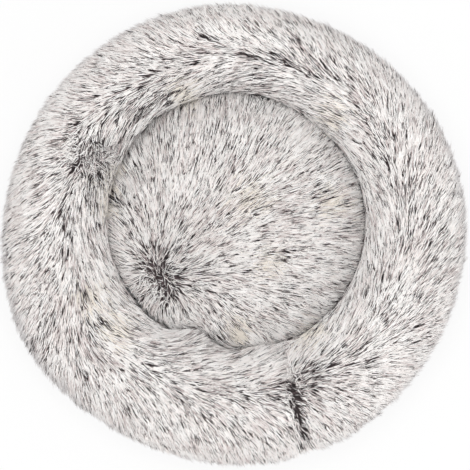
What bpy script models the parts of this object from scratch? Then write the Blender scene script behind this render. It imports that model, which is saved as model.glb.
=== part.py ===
"""A round long-pile cat bed: a stuffed plush ring round a sunken plush cushion, on a padded base.

Lengths are in metres and +Z is up. The origin is the middle of the base, on the floor. The bed is
seen from above with +X to the right and +Y at the top. The front half of the base is on the -Y side.
The plush solids end at the mean surface of their pile.
"""

import math

import bmesh
import bpy
import numpy as np
from mathutils import Matrix

# Clearances and cutting
GAP = 0.0003
CUT_OVERRUN = 0.004
WELD = 0.00002

# The whole bed
BED_RADIUS = 0.296
BED_HEIGHT = 0.168
NEST_RADIUS = 0.1685
NEST_SHIFT = (0.001, 0.017)
PILE_DEPTH = 0.022

# The ring's section
CREST_SHARE = 0.36
WIDEST_HEIGHT = 0.074
COVER_FOOT = 0.037
TUCK_TURN = math.radians(60)
OUTER_STEPS = (5, 5, 4)
INNER_STEPS = (3, 4, 3)

# How the stuffing swells and settles
SETTLE_HEIGHT = 0.030
OUTLINE_LOBE_SHARES = ((2, 0.006, 0.0), (4, 0.005, math.radians(20)))
CREST_DIP_SHARE = 0.045
CREST_DIP_TURN = math.radians(40)
CREST_DIPS = 3
CORE_HEIGHT = 0.085
CREASE_SHARE = 0.13
CREASE_WIDTH = 0.016

# The closing seam of the ring
CLOSING_ANGLE = math.radians(-71)
SEAM_ARC = math.radians(24)
SEAM_STEPS = 6
RING_STEPS = 42
ALLOWANCE_DEPTH = 0.008
ALLOWANCE_THICKNESS = 0.003

# The cushion
CROWN_HEIGHT = 0.073
CROWN_FULLNESS = 0.82
CUSHION_STEPS = (8, 6)
HOLLOW_PLACE = (-0.099, -0.055)
HOLLOW_DEPTH = 0.009
HOLLOW_WIDTH = 0.038

# The wall between the fillings, and the ridge of the nest seam on it
WALL_THICKNESS = 0.003
WALL_TOP = 0.030
RIDGE_TOP = 0.040
RIDGE_ROUND = 0.001

# The base
BASE_RADIUS = 0.262
PANEL_THICKNESS = 0.006
LINING_THICKNESS = 0.0012
BINDING_WIDTH = 0.008
BINDING_FLOOR_GAP = 0.0012
BINDING_SIDES = 8
DOT_HEIGHT = 0.0015
DOT_RADIUS = 0.0045
DOT_SIDES = 8
DOT_SPACING = 0.045
DOT_EDGE_MARGIN = 0.012

# The zip
SLOT_WIDTH = 0.020
TAPE_LENGTH = 0.470
TAPE_WIDTH = 0.0137
TAPE_THICKNESS = 0.0008
CHAIN_WIDTH = 0.006
CHAIN_THICKNESS = 0.0024
SPINE_WIDTH = 0.0011
TOOTH_PITCH = 0.0042
TOOTH_ROOT = 0.0017
TOOTH_TIP = 0.0014
TOOTH_OVERLAP = 0.0012
STOP_INSET = 0.011
STOP_LENGTH = 0.003
STOP_THICKNESS = 0.0032
STOP_BEVEL = 0.0004
TOP_STOP_WIDTH = 0.0013

# The slider
SLIDER_LENGTH = 0.012
SLIDER_THROAT_WIDTH = 0.009
SLIDER_MOUTH_WIDTH = 0.0104
PLATE_THICKNESS = 0.001
FLANGE_WIDTH = 0.0012
WEDGE_WIDTH = 0.0028
WEDGE_START = 0.0012
BRIDGE_WIDTH = 0.002
BRIDGE_LENGTH = 0.0064
BRIDGE_THICKNESS = 0.0012
BRIDGE_CORNER = 0.0009
BRIDGE_CLEAR = 0.0018

# The pull tab
PULL_LENGTH = 0.024
PULL_WIDTH = 0.0066
PULL_THICKNESS = 0.0011
PULL_ARM_WIDTH = 0.0013
PULL_SIDE_CLEAR = 0.0004
PULL_EYE_LENGTH = 0.0039
PULL_NECK_SHARE = 0.34
PULL_END_STEPS = 6
PULL_BEVEL = 0.0002

# Heights worked out from the layers of the base
PANEL_TOP = DOT_HEIGHT + PANEL_THICKNESS
LINING_BOTTOM = PANEL_TOP + GAP
LINING_TOP = LINING_BOTTOM + LINING_THICKNESS
FILLING_BOTTOM = LINING_TOP + GAP
CHAIN_HEIGHT = LINING_BOTTOM + TAPE_THICKNESS / 2
SLIDER_HALF_HEIGHT = CHAIN_THICKNESS / 2 + GAP + PLATE_THICKNESS
ROOF_BOTTOM = CHAIN_HEIGHT + SLIDER_HALF_HEIGHT + GAP

# Radii worked out from the seams
WALL_INNER = NEST_RADIUS - WALL_THICKNESS / 2
WALL_OUTER = NEST_RADIUS + WALL_THICKNESS / 2
CUSHION_EDGE = WALL_INNER - GAP
RING_INNER = WALL_OUTER + GAP
CREST_RADIUS = RING_INNER + CREST_SHARE * (BED_RADIUS - RING_INNER)
FOOT_RADIUS = BASE_RADIUS + GAP + BINDING_WIDTH
TUCK_HALF_WIDTH = (BED_RADIUS - FOOT_RADIUS) / (1 - math.cos(TUCK_TURN))
TUCK_HALF_HEIGHT = (WIDEST_HEIGHT - FILLING_BOTTOM) / math.sin(TUCK_TURN)

# Places along the zip
TAPE_INNER_EDGE = CHAIN_WIDTH / 2 + GAP
TAPE_OUTER_EDGE = TAPE_INNER_EDGE + TAPE_WIDTH
STOP_PLACE = TAPE_LENGTH / 2 - STOP_INSET
CHAIN_START = -STOP_PLACE + STOP_LENGTH / 2 + GAP
CHAIN_END = STOP_PLACE - STOP_LENGTH / 2 - GAP
SLIDER_REST = CHAIN_END - SLIDER_LENGTH / 2
TEETH_END = SLIDER_REST + WEDGE_START - GAP
PULL_AXIS_DROP = SLIDER_HALF_HEIGHT + BRIDGE_CLEAR / 2


def clear_scene():
    for old in list(bpy.data.objects):
        bpy.data.objects.remove(old)


def make_material(name, colour, roughness, metallic=0.0):
    material = bpy.data.materials.new(name)
    material.use_nodes = True
    shader = material.node_tree.nodes["Principled BSDF"]
    shader.inputs["Base Color"].default_value = (*colour, 1)
    shader.inputs["Roughness"].default_value = roughness
    shader.inputs["Metallic"].default_value = metallic
    return material


def make_materials():
    return {
        "plush": make_material("pale plush", (0.74, 0.69, 0.67), 0.9),
        "fibre": make_material("hollow fibre", (0.90, 0.90, 0.88), 1.0),
        "lining": make_material("white lining", (0.80, 0.80, 0.78), 0.9),
        "seam": make_material("dark seam thread", (0.16, 0.14, 0.14), 0.9),
        "base": make_material("charcoal base cloth", (0.10, 0.10, 0.11), 0.8),
        "binding": make_material("grey binding", (0.24, 0.23, 0.24), 0.85),
        "tape": make_material("grey zip tape", (0.20, 0.20, 0.21), 0.85),
        "teeth": make_material("grey zip teeth", (0.13, 0.13, 0.14), 0.45),
        "metal": make_material("nickel", (0.68, 0.68, 0.70), 0.28, 1.0),
    }


def place_object(name, bm, material, location=(0, 0, 0)):
    """The finished solid as a named object, shaded smooth where it is round."""
    bmesh.ops.recalc_face_normals(bm, faces=bm.faces)
    mesh = bpy.data.meshes.new(name)
    bm.to_mesh(mesh)
    bm.free()
    mesh.materials.append(material)
    mesh.shade_smooth()
    mesh.set_sharp_from_angle(angle=math.radians(35))
    placed = bpy.data.objects.new(name, mesh)
    placed.location = location
    bpy.context.collection.objects.link(placed)
    return placed


def make_cutter(name, bm):
    """A helper solid that only joins or cuts others."""
    bmesh.ops.recalc_face_normals(bm, faces=bm.faces)
    mesh = bpy.data.meshes.new(name)
    bm.to_mesh(mesh)
    bm.free()
    cutter = bpy.data.objects.new(name, mesh)
    cutter.hide_render = True
    cutter.display_type = "WIRE"
    bpy.context.collection.objects.link(cutter)
    return cutter


def combine(target, other, operation):
    modifier = target.modifiers.new(f"{operation.title()} {other.name}", "BOOLEAN")
    modifier.operation = operation
    modifier.object = other
    modifier.solver = "EXACT"


def box_mesh(low, high):
    """A box between two corners."""
    bm = bmesh.new()
    size = [high[i] - low[i] for i in range(3)]
    middle = [(high[i] + low[i]) / 2 for i in range(3)]
    bmesh.ops.create_cube(bm, size=1)
    bmesh.ops.scale(bm, vec=size, verts=bm.verts)
    bmesh.ops.translate(bm, vec=middle, verts=bm.verts)
    return bm


def extruded_outline(points, thickness):
    """A flat outline in XY, thickened equally above and below z = 0."""
    bm = bmesh.new()
    face = bm.faces.new([bm.verts.new((x, y, -thickness / 2)) for x, y in points])
    made = bmesh.ops.extrude_face_region(bm, geom=[face])
    risen = [item for item in made["geom"] if isinstance(item, bmesh.types.BMVert)]
    bmesh.ops.translate(bm, vec=(0, 0, thickness), verts=risen)
    return bm


def ellipse(centre, half_sizes, start, end, steps, fullness=1.0):
    """Points on an ellipse in the section plane. A fullness below 1 squares its shoulders."""

    def reach(value):
        return math.copysign(abs(value) ** fullness, value)

    return [
        (
            centre[0] + half_sizes[0] * reach(math.cos(angle)),
            centre[1] + half_sizes[1] * reach(math.sin(angle)),
        )
        for angle in np.linspace(start, end, steps + 1)
    ]


def turned(section):
    """A closed section of radius and height, turned about Z in fine steps at the closing seam only."""
    bm = bmesh.new()
    verts = [bm.verts.new((radius, 0, height)) for radius, height in section]
    edges = [bm.edges.new(pair) for pair in zip(verts, verts[1:] + verts[:1])]
    start = CLOSING_ANGLE - SEAM_ARC / 2
    bmesh.ops.rotate(bm, cent=(0, 0, 0), matrix=Matrix.Rotation(start, 3, "Z"), verts=verts)
    last = verts + edges
    for angle, steps in ((SEAM_ARC, SEAM_STEPS), (math.tau - SEAM_ARC, RING_STEPS)):
        spun = bmesh.ops.spin(
            bm, geom=last, cent=(0, 0, 0), axis=(0, 0, 1), angle=angle, steps=steps
        )
        last = spun["geom_last"]
    bmesh.ops.remove_doubles(bm, verts=bm.verts, dist=WELD)
    return bm


def smooth_share(value):
    """0 to 1 with soft ends."""
    value = min(max(value, 0.0), 1.0)
    return value * value * (3 - 2 * value)


def settle(bm):
    """Moves a round piece as the stuffing does: off-centre nest, soft lobes, creased closing seam."""
    for vert in bm.verts:
        radius = math.hypot(vert.co.x, vert.co.y)
        angle = math.atan2(vert.co.y, vert.co.x)
        height = vert.co.z
        raised = smooth_share((height - COVER_FOOT) / SETTLE_HEIGHT)
        if radius > NEST_RADIUS:
            radius, height = creased(radius, angle, height, raised)
            swell = smooth_share((radius - CREST_RADIUS) / (BED_RADIUS - CREST_RADIUS))
            lobes = sum(
                share * math.cos(count * (angle - turn))
                for count, share, turn in OUTLINE_LOBE_SHARES
            )
            radius *= 1 + lobes * swell * raised
            dip = (1 - math.cos(CREST_DIPS * (angle - CREST_DIP_TURN))) / 2
            height -= CREST_DIP_SHARE * dip * raised * (height - COVER_FOOT)
        shift = (FOOT_RADIUS - radius) / (FOOT_RADIUS - RING_INNER)
        shift = min(max(shift, 0.0), 1.0)
        vert.co.x = radius * math.cos(angle) + shift * NEST_SHIFT[0]
        vert.co.y = radius * math.sin(angle) + shift * NEST_SHIFT[1]
        vert.co.z = hollowed(vert.co.x, vert.co.y, height) if radius < NEST_RADIUS else height
    # Neighbours bend their faces along the same diagonals, so that they stay clear of each other.
    bmesh.ops.triangulate(bm, faces=bm.faces, quad_method="SHORT_EDGE")


def creased(radius, angle, height, raised):
    """The ring drawn in towards its core along the closing seam."""
    away = math.remainder(angle - CLOSING_ANGLE, math.tau) * radius
    pull = CREASE_SHARE * math.exp(-((away / CREASE_WIDTH) ** 2)) * raised
    radius += (CREST_RADIUS - radius) * pull
    height += (CORE_HEIGHT - height) * pull
    return radius, height


def hollowed(x, y, height):
    """The cushion sunk a little where a cat has trodden it."""
    away = math.hypot(x - HOLLOW_PLACE[0], y - HOLLOW_PLACE[1]) / HOLLOW_WIDTH
    raised = max(height - COVER_FOOT, 0.0) / (CROWN_HEIGHT - COVER_FOOT)
    return height - HOLLOW_DEPTH * math.exp(-away * away) * raised


def ring_contour(depth, steps):
    """The ring's curve at a depth under its surface, from the nest seam over the crest to the foot."""
    wall_steps, shoulder_steps, tuck_steps = steps
    wall = ellipse(
        (CREST_RADIUS, COVER_FOOT),
        (CREST_RADIUS - RING_INNER - depth, BED_HEIGHT - COVER_FOOT - depth),
        math.pi,
        math.pi / 2,
        wall_steps,
    )
    shoulder = ellipse(
        (CREST_RADIUS, WIDEST_HEIGHT),
        (BED_RADIUS - CREST_RADIUS - depth, BED_HEIGHT - WIDEST_HEIGHT - depth),
        math.pi / 2,
        0,
        shoulder_steps,
    )
    tuck = ellipse(
        (BED_RADIUS - TUCK_HALF_WIDTH - depth, WIDEST_HEIGHT),
        (TUCK_HALF_WIDTH, TUCK_HALF_HEIGHT),
        0,
        -TUCK_TURN,
        tuck_steps,
    )
    return wall + shoulder[1:] + tuck[1:]


def crown_contour(edge, rise, steps):
    """A crowned curve from the cushion's edge to the axis."""
    curve = ellipse((0, COVER_FOOT), (edge, rise), 0, math.pi / 2, steps, CROWN_FULLNESS)
    return curve[:-1] + [(0, COVER_FOOT + rise)]


def make_bolster(materials, channel):
    """The plush tube of the ring and the stuffing that fills it."""
    outer = ring_contour(0, OUTER_STEPS)
    inner = ring_contour(PILE_DEPTH, INNER_STEPS)
    bm = turned(outer + inner[::-1])
    settle(bm)
    place_object("bolster_cover", bm, materials["plush"])

    upper = ring_contour(PILE_DEPTH + GAP, INNER_STEPS)
    ledge = [
        (RING_INNER, FILLING_BOTTOM),
        (RING_INNER, COVER_FOOT - GAP),
        (RING_INNER + PILE_DEPTH + GAP, COVER_FOOT - GAP),
    ]
    bm = turned(ledge + upper[1:])
    settle(bm)
    filling = place_object("bolster_filling", bm, materials["fibre"])
    combine(filling, channel, "DIFFERENCE")

    fin = seam_fin(GAP, GAP + ALLOWANCE_DEPTH, ALLOWANCE_THICKNESS, 2)
    place_object("closing_seam", fin, materials["seam"])
    groove = seam_fin(
        -CUT_OVERRUN, ALLOWANCE_DEPTH + 2 * GAP, ALLOWANCE_THICKNESS + 2 * GAP, 1
    )
    combine(filling, make_cutter("closing_groove", groove), "DIFFERENCE")


def seam_fin(top, bottom, thickness, trimmed):
    """An arch-shaped fin under the plush at the closing seam, without the end points of its curve."""
    over = ring_contour(PILE_DEPTH + top, INNER_STEPS)[trimmed:-trimmed]
    under = ring_contour(PILE_DEPTH + bottom, INNER_STEPS)[trimmed:-trimmed]
    bm = extruded_outline(over + under[::-1], thickness)
    bmesh.ops.rotate(
        bm, cent=(0, 0, 0), matrix=Matrix.Rotation(math.pi / 2, 3, "X"), verts=bm.verts
    )
    bmesh.ops.rotate(
        bm, cent=(0, 0, 0), matrix=Matrix.Rotation(CLOSING_ANGLE, 3, "Z"), verts=bm.verts
    )
    settle(bm)
    return bm


def make_cushion(materials, channel):
    """The plush panel of the cushion and the pad under it."""
    rise = CROWN_HEIGHT - COVER_FOOT
    outer = crown_contour(CUSHION_EDGE, rise, CUSHION_STEPS[0])
    inner = crown_contour(CUSHION_EDGE - PILE_DEPTH, rise - PILE_DEPTH, CUSHION_STEPS[1])
    bm = turned(outer + inner[::-1])
    settle(bm)
    place_object("cushion_cover", bm, materials["plush"])

    upper = crown_contour(
        CUSHION_EDGE - PILE_DEPTH - GAP, rise - PILE_DEPTH - GAP, CUSHION_STEPS[1]
    )
    pad = [
        (0, FILLING_BOTTOM),
        (CUSHION_EDGE, FILLING_BOTTOM),
        (CUSHION_EDGE, COVER_FOOT - GAP),
        (CUSHION_EDGE - PILE_DEPTH - GAP, COVER_FOOT - GAP),
    ]
    bm = turned(pad + upper[1:])
    settle(bm)
    filling = place_object("cushion_filling", bm, materials["fibre"])
    combine(filling, channel, "DIFFERENCE")


def make_nest_wall(materials, channel):
    """The upright lining between the two fillings, and the taped ridge of the nest seam on it."""
    wall = [
        (WALL_INNER, FILLING_BOTTOM),
        (WALL_OUTER, FILLING_BOTTOM),
        (WALL_OUTER, WALL_TOP),
        (WALL_INNER, WALL_TOP),
    ]
    bm = turned(wall)
    settle(bm)
    combine(place_object("lining_wall", bm, materials["lining"]), channel, "DIFFERENCE")

    ridge = [
        (WALL_INNER, WALL_TOP + GAP),
        (WALL_OUTER, WALL_TOP + GAP),
        (WALL_OUTER, RIDGE_TOP - RIDGE_ROUND),
        (WALL_OUTER - RIDGE_ROUND, RIDGE_TOP),
        (WALL_INNER + RIDGE_ROUND, RIDGE_TOP),
        (WALL_INNER, RIDGE_TOP - RIDGE_ROUND),
    ]
    bm = turned(ridge)
    settle(bm)
    place_object("nest_seam", bm, materials["seam"])


def flat_disc(bottom, top):
    bm = turned([(0, bottom), (BASE_RADIUS, bottom), (BASE_RADIUS, top), (0, top)])
    bmesh.ops.dissolve_limit(
        bm, angle_limit=math.radians(1), verts=bm.verts, edges=bm.edges
    )
    return bm


def channel_mesh(margin, bottom):
    """The long box over the zip, grown on every side by a margin."""
    reach_x = TAPE_LENGTH / 2 + margin
    reach_y = TAPE_OUTER_EDGE + margin
    return box_mesh((-reach_x, -reach_y, bottom), (reach_x, reach_y, ROOF_BOTTOM + margin - GAP))


def make_base_lining(materials):
    """The lining under both fillings, with a raised channel that clears the zip."""
    lining = place_object(
        "base_lining", flat_disc(LINING_BOTTOM, LINING_TOP), materials["lining"]
    )
    outside = channel_mesh(GAP + LINING_THICKNESS, LINING_BOTTOM)
    combine(lining, make_cutter("channel_outside", outside), "UNION")
    inside = channel_mesh(GAP, LINING_BOTTOM - CUT_OVERRUN)
    combine(lining, make_cutter("channel_inside", inside), "DIFFERENCE")


def dot_places():
    """Grip dots in staggered rows on the back half, clear of the slot and of the rim."""
    row_gap = DOT_SPACING * math.sqrt(3) / 2
    first_row = SLOT_WIDTH / 2 + DOT_EDGE_MARGIN
    limit = BASE_RADIUS - DOT_EDGE_MARGIN
    for row in range(int((limit - first_row) / row_gap) + 1):
        y = first_row + row * row_gap
        columns = int(limit / DOT_SPACING) + 1
        for column in range(-columns, columns + 1):
            x = (column + (row % 2) / 2) * DOT_SPACING
            if math.hypot(x, y) <= limit:
                yield x, y


def make_base_panels(materials):
    """The two halves of the padded non-slip base, each with its grip dots."""
    for name, side in (("base_panel_front", -1), ("base_panel_back", 1)):
        bm = flat_disc(DOT_HEIGHT, PANEL_TOP)
        bmesh.ops.bisect_plane(
            bm,
            geom=bm.verts[:] + bm.edges[:] + bm.faces[:],
            plane_co=(0, side * SLOT_WIDTH / 2, 0),
            plane_no=(0, -side, 0),
            clear_outer=True,
        )
        open_edges = [edge for edge in bm.edges if edge.is_boundary]
        bmesh.ops.holes_fill(bm, edges=open_edges)
        panel = place_object(name, bm, materials["base"])
        dots = bmesh.new()
        for x, y in dot_places():
            height = DOT_HEIGHT + PANEL_THICKNESS / 2
            bmesh.ops.create_cone(
                dots,
                cap_ends=True,
                segments=DOT_SIDES,
                radius1=DOT_RADIUS,
                radius2=DOT_RADIUS,
                depth=height,
                matrix=Matrix.Translation((x, side * y, height / 2)),
            )
        combine(panel, make_cutter(f"{name}_dots", dots), "UNION")


def make_rim_binding(materials):
    """The binding bead round the outer seam of the base."""
    half_height = (LINING_TOP - BINDING_FLOOR_GAP) / 2
    centre = (BASE_RADIUS + GAP + BINDING_WIDTH / 2, BINDING_FLOOR_GAP + half_height)
    section = ellipse(
        centre, (BINDING_WIDTH / 2, half_height), 0, math.tau, BINDING_SIDES
    )[:-1]
    place_object("rim_binding", turned(section), materials["binding"])


def make_zip_tapes(materials):
    for name, side in (("zip_tape_front", -1), ("zip_tape_back", 1)):
        edges = sorted((side * TAPE_INNER_EDGE, side * TAPE_OUTER_EDGE))
        bm = box_mesh(
            (-TAPE_LENGTH / 2, edges[0], LINING_BOTTOM),
            (TAPE_LENGTH / 2, edges[1], LINING_BOTTOM + TAPE_THICKNESS),
        )
        place_object(name, bm, materials["tape"])


def teeth_outline(side):
    """One toothed strip: a straight spine at its tape, and teeth that reach past the middle."""
    outer = side * CHAIN_WIDTH / 2
    inner = side * (CHAIN_WIDTH / 2 - SPINE_WIDTH)
    tip = -side * TOOTH_OVERLAP
    points = [(CHAIN_END, inner), (CHAIN_END, outer), (CHAIN_START, outer), (CHAIN_START, inner)]
    centre = CHAIN_START + TOOTH_PITCH / 2 + (TOOTH_PITCH / 2 if side > 0 else 0)
    while centre + TOOTH_ROOT / 2 <= TEETH_END:
        points += [
            (centre - TOOTH_ROOT / 2, inner),
            (centre - TOOTH_TIP / 2, tip),
            (centre + TOOTH_TIP / 2, tip),
            (centre + TOOTH_ROOT / 2, inner),
        ]
        centre += TOOTH_PITCH
    return points


def make_zip_teeth(materials):
    for name, side in (("zip_teeth_front", -1), ("zip_teeth_back", 1)):
        bm = extruded_outline(teeth_outline(side), CHAIN_THICKNESS)
        place_object(name, bm, materials["teeth"], (0, 0, CHAIN_HEIGHT))


def make_zip_stops(materials):
    """A box stop across both tapes at one end, and a small stop on each tape at the other."""
    stops = (
        ("zip_bottom_stop", -STOP_PLACE, 0, CHAIN_WIDTH),
        ("zip_top_stop_front", STOP_PLACE, -(CHAIN_WIDTH - TOP_STOP_WIDTH) / 2, TOP_STOP_WIDTH),
        ("zip_top_stop_back", STOP_PLACE, (CHAIN_WIDTH - TOP_STOP_WIDTH) / 2, TOP_STOP_WIDTH),
    )
    for name, x, y, width in stops:
        half = (STOP_LENGTH / 2, width / 2, STOP_THICKNESS / 2)
        bm = box_mesh([-size for size in half], half)
        bmesh.ops.bevel(
            bm,
            geom=bm.edges[:],
            offset=STOP_BEVEL,
            offset_type="OFFSET",
            affect="EDGES",
            segments=1,
            profile=0.5,
            material=-1,
        )
        place_object(name, bm, materials["metal"], (x, y, CHAIN_HEIGHT))


def slider_outline():
    """The shield shape of a slider plate: a straight throat that widens to the mouth."""
    throat = SLIDER_THROAT_WIDTH / 2
    mouth = SLIDER_MOUTH_WIDTH / 2
    half = SLIDER_LENGTH / 2
    corner = FLANGE_WIDTH
    side = [
        (-half, throat - corner),
        (-half + corner, throat),
        (0, throat),
        (half - 2 * corner, mouth),
        (half - corner, mouth),
        (half, mouth - corner),
    ]
    return side + [(x, -y) for x, y in side[::-1]]


def make_zip_slider(materials):
    """Two plates joined by a wedge between the parting teeth, with flanges and a bridge for the pull."""
    plate_middle = SLIDER_HALF_HEIGHT - PLATE_THICKNESS / 2
    bm = extruded_outline(slider_outline(), PLATE_THICKNESS)
    bmesh.ops.translate(bm, vec=(0, 0, plate_middle), verts=bm.verts)
    location = (SLIDER_REST, 0, CHAIN_HEIGHT)
    slider = place_object("zip_slider", bm, materials["metal"], location)

    outer_plate = extruded_outline(slider_outline(), PLATE_THICKNESS)
    bmesh.ops.translate(outer_plate, vec=(0, 0, -plate_middle), verts=outer_plate.verts)
    half = SLIDER_LENGTH / 2
    wedge = extruded_outline(
        [
            (WEDGE_START, 0),
            ((WEDGE_START + half) / 2, -WEDGE_WIDTH / 2),
            (half - PLATE_THICKNESS / 2, -WEDGE_WIDTH / 2),
            (half - PLATE_THICKNESS / 2, WEDGE_WIDTH / 2),
            ((WEDGE_START + half) / 2, WEDGE_WIDTH / 2),
        ],
        2 * plate_middle,
    )
    parts = [("outer_plate", outer_plate), ("wedge", wedge), ("bridge", bridge_mesh())]
    parts += [(f"flange_{number}", bm) for number, bm in enumerate(flange_meshes(plate_middle))]
    for name, bm in parts:
        joined = make_cutter(f"slider_{name}", bm)
        joined.location = location
        combine(slider, joined, "UNION")
    return slider


def flange_meshes(plate_middle):
    """Four lips along the slider's sides, which leave a slot for each tape."""
    inner = CHAIN_WIDTH / 2 + GAP
    lip_end = TAPE_THICKNESS / 2 + GAP
    trim = SLIDER_LENGTH / 2 - FLANGE_WIDTH
    for side in (-1, 1):
        near, far = sorted((side * inner, side * (inner + FLANGE_WIDTH)))
        for up in (-1, 1):
            low, high = sorted((up * lip_end, up * plate_middle))
            yield box_mesh((-trim, near, low), (trim, far, high))


def bridge_mesh():
    """The arch on the outer plate that holds the pull."""
    reach = BRIDGE_LENGTH / 2
    root = -SLIDER_HALF_HEIGHT + PLATE_THICKNESS / 2
    clear = -SLIDER_HALF_HEIGHT - BRIDGE_CLEAR
    bottom = clear - BRIDGE_THICKNESS
    inside = reach - BRIDGE_THICKNESS
    outline = [
        (-reach, root),
        (-reach, bottom + BRIDGE_CORNER),
        (-reach + BRIDGE_CORNER, bottom),
        (reach - BRIDGE_CORNER, bottom),
        (reach, bottom + BRIDGE_CORNER),
        (reach, root),
        (inside, root),
        (inside, clear),
        (-inside, clear),
        (-inside, root),
    ]
    bm = extruded_outline(outline, BRIDGE_WIDTH)
    bmesh.ops.rotate(
        bm, cent=(0, 0, 0), matrix=Matrix.Rotation(math.pi / 2, 3, "X"), verts=bm.verts
    )
    return bm


def make_zip_pull(materials, slider):
    """The pull tab, lying back along the chain. Its origin is on its hinge axis in the bridge."""
    bar = PULL_THICKNESS / 2
    eye_half = BRIDGE_WIDTH / 2 + PULL_SIDE_CLEAR
    neck_half = eye_half + PULL_ARM_WIDTH
    wide_half = PULL_WIDTH / 2
    round_centre = -PULL_LENGTH + wide_half
    neck_end = -PULL_NECK_SHARE * PULL_LENGTH
    side = [(bar, neck_half), (neck_end, neck_half)]
    side += ellipse(
        (round_centre, 0), (wide_half, wide_half), math.pi / 2, math.pi, PULL_END_STEPS
    )
    outline = side + [(x, -y) for x, y in side[-2::-1]]
    bm = extruded_outline(outline, PULL_THICKNESS)
    pull = place_object("zip_pull", bm, materials["metal"], (0, 0, -PULL_AXIS_DROP))
    pull.parent = slider
    eye = make_cutter(
        "pull_eye",
        box_mesh(
            (-bar - PULL_EYE_LENGTH, -eye_half, -PULL_THICKNESS),
            (-bar, eye_half, PULL_THICKNESS),
        ),
    )
    eye.parent = pull
    combine(pull, eye, "DIFFERENCE")
    rounding = pull.modifiers.new("Softened edges", "BEVEL")
    rounding.width = PULL_BEVEL
    rounding.segments = 1
    rounding.limit_method = "ANGLE"
    rounding.angle_limit = math.radians(50)


def main():
    clear_scene()
    materials = make_materials()
    channel = make_cutter(
        "zip_channel",
        channel_mesh(2 * GAP + LINING_THICKNESS, LINING_BOTTOM - CUT_OVERRUN),
    )
    make_bolster(materials, channel)
    make_cushion(materials, channel)
    make_nest_wall(materials, channel)
    make_base_lining(materials)
    make_base_panels(materials)
    make_rim_binding(materials)
    make_zip_tapes(materials)
    make_zip_teeth(materials)
    make_zip_stops(materials)
    slider = make_zip_slider(materials)
    make_zip_pull(materials, slider)


main()
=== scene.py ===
import math

import bmesh
import bpy
import numpy as np
from mathutils import Matrix, Vector, kdtree, noise


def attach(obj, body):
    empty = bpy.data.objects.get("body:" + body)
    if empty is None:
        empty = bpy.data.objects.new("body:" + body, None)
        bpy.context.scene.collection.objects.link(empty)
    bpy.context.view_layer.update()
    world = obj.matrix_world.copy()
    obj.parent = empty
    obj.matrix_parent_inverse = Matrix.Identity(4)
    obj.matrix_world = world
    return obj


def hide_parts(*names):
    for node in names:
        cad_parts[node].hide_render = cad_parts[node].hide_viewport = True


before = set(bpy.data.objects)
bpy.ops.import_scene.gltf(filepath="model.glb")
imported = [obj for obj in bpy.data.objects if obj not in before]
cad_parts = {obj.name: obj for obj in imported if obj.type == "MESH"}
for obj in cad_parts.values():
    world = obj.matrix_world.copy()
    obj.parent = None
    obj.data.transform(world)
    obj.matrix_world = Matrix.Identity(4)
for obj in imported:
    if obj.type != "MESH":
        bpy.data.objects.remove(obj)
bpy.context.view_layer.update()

bl_info = {
    "name": "Long-Pile Cat Bed",
    "version": (1, 0, 0),
    "blender": (4, 5, 0),
    "location": "View3D > Sidebar > Cat Bed",
    "description": "Dresses the solids of a round long-pile cat bed",
    "category": "Mesh",
}

MM = 0.001

# The ring and the cushion, in metres, as the solids have them.
BED_RADIUS = 0.296
BED_HEIGHT = 0.168
NEST_RADIUS = 0.1685
NEST_SHIFT = np.array((0.001, 0.017))
RING_INNER = 0.1703
CREST_RADIUS = 0.21555
WIDEST_HEIGHT = 0.074
COVER_FOOT = 0.037
FOOT_RADIUS = 0.2703
FILLING_BOTTOM = 0.0093
TUCK_TURN = math.radians(60)
TUCK_HALF_WIDTH = (BED_RADIUS - FOOT_RADIUS) / (1 - math.cos(TUCK_TURN))
TUCK_HALF_HEIGHT = (WIDEST_HEIGHT - FILLING_BOTTOM) / math.sin(TUCK_TURN)
SETTLE_HEIGHT = 0.030
OUTLINE_LOBE_SHARES = ((2, 0.006, 0.0), (4, 0.005, math.radians(20)))
BULGE_SHARE = 0.022
BULGE_PLACE = math.radians(-153)
BULGE_WIDTH = math.radians(20)
CREST_DIP_SHARE = 0.045
CREST_DIP_TURN = math.radians(40)
CREST_DIPS = 3
CORE_HEIGHT = 0.085
CREASE_SHARE = 0.13
CREASE_WIDTH = 0.016
CLOSING_ANGLE = math.radians(-71)
CROWN_HEIGHT = 0.073
CROWN_FULLNESS = 0.82
CUSHION_EDGE = 0.1667
HOLLOW_PLACE = (-0.099, -0.055)
HOLLOW_DEPTH = 0.009
HOLLOW_WIDTH = 0.038
PILE_DEPTH = 0.022
ALLOWANCE_DEPTH = 0.008

# The lining, the base and the zip.
WALL_INNER = 0.167
WALL_OUTER = 0.170
WALL_TOP = 0.030
RIDGE_TOP = 0.040
BASE_RADIUS = 0.262
PANEL_BOTTOM = 0.0015
PANEL_TOP = 0.0075
LINING_BOTTOM = 0.0078
LINING_TOP = 0.0090
BINDING_FOOT = 0.0012
DOT_RADIUS = 0.0045
DOT_SPACING = 0.045
DOT_EDGE_MARGIN = 0.012
SLOT_HALF_WIDTH = 0.010
TAPE_HALF_LENGTH = 0.235
TAPE_INNER_EDGE = 0.0033
TAPE_OUTER_EDGE = 0.0170
TAPE_THICKNESS = 0.0008
CHANNEL_ROOF = 0.0113
TAB_START = 0.2275
TAB_END = 0.2550
TAB_BOTTOM = 0.0062
TAPE_CORNER = 0.003
DOT_HEIGHT = 0.003
# The height of the nest seam's stitches, and both sides of each ply of the closing seam.
NEST_STITCH_HEIGHT = 0.0348
PLY_INSIDE = 0.0002
PLY_OUTSIDE = 0.0015
CLEAR = 0.0003
CHANNEL_RAMP = 0.004

# The covers swell by a cloth simulation, on faces of an even size, and the filling has lumps.
RING_VOXEL = 0.0055
CUSHION_VOXEL = 0.005
FIBRE_VOXEL = 0.006
FILLING_PRESSURE = 4.0
SWELL_FRAMES = 20
LUMP_DEPTH = 0.004

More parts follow.
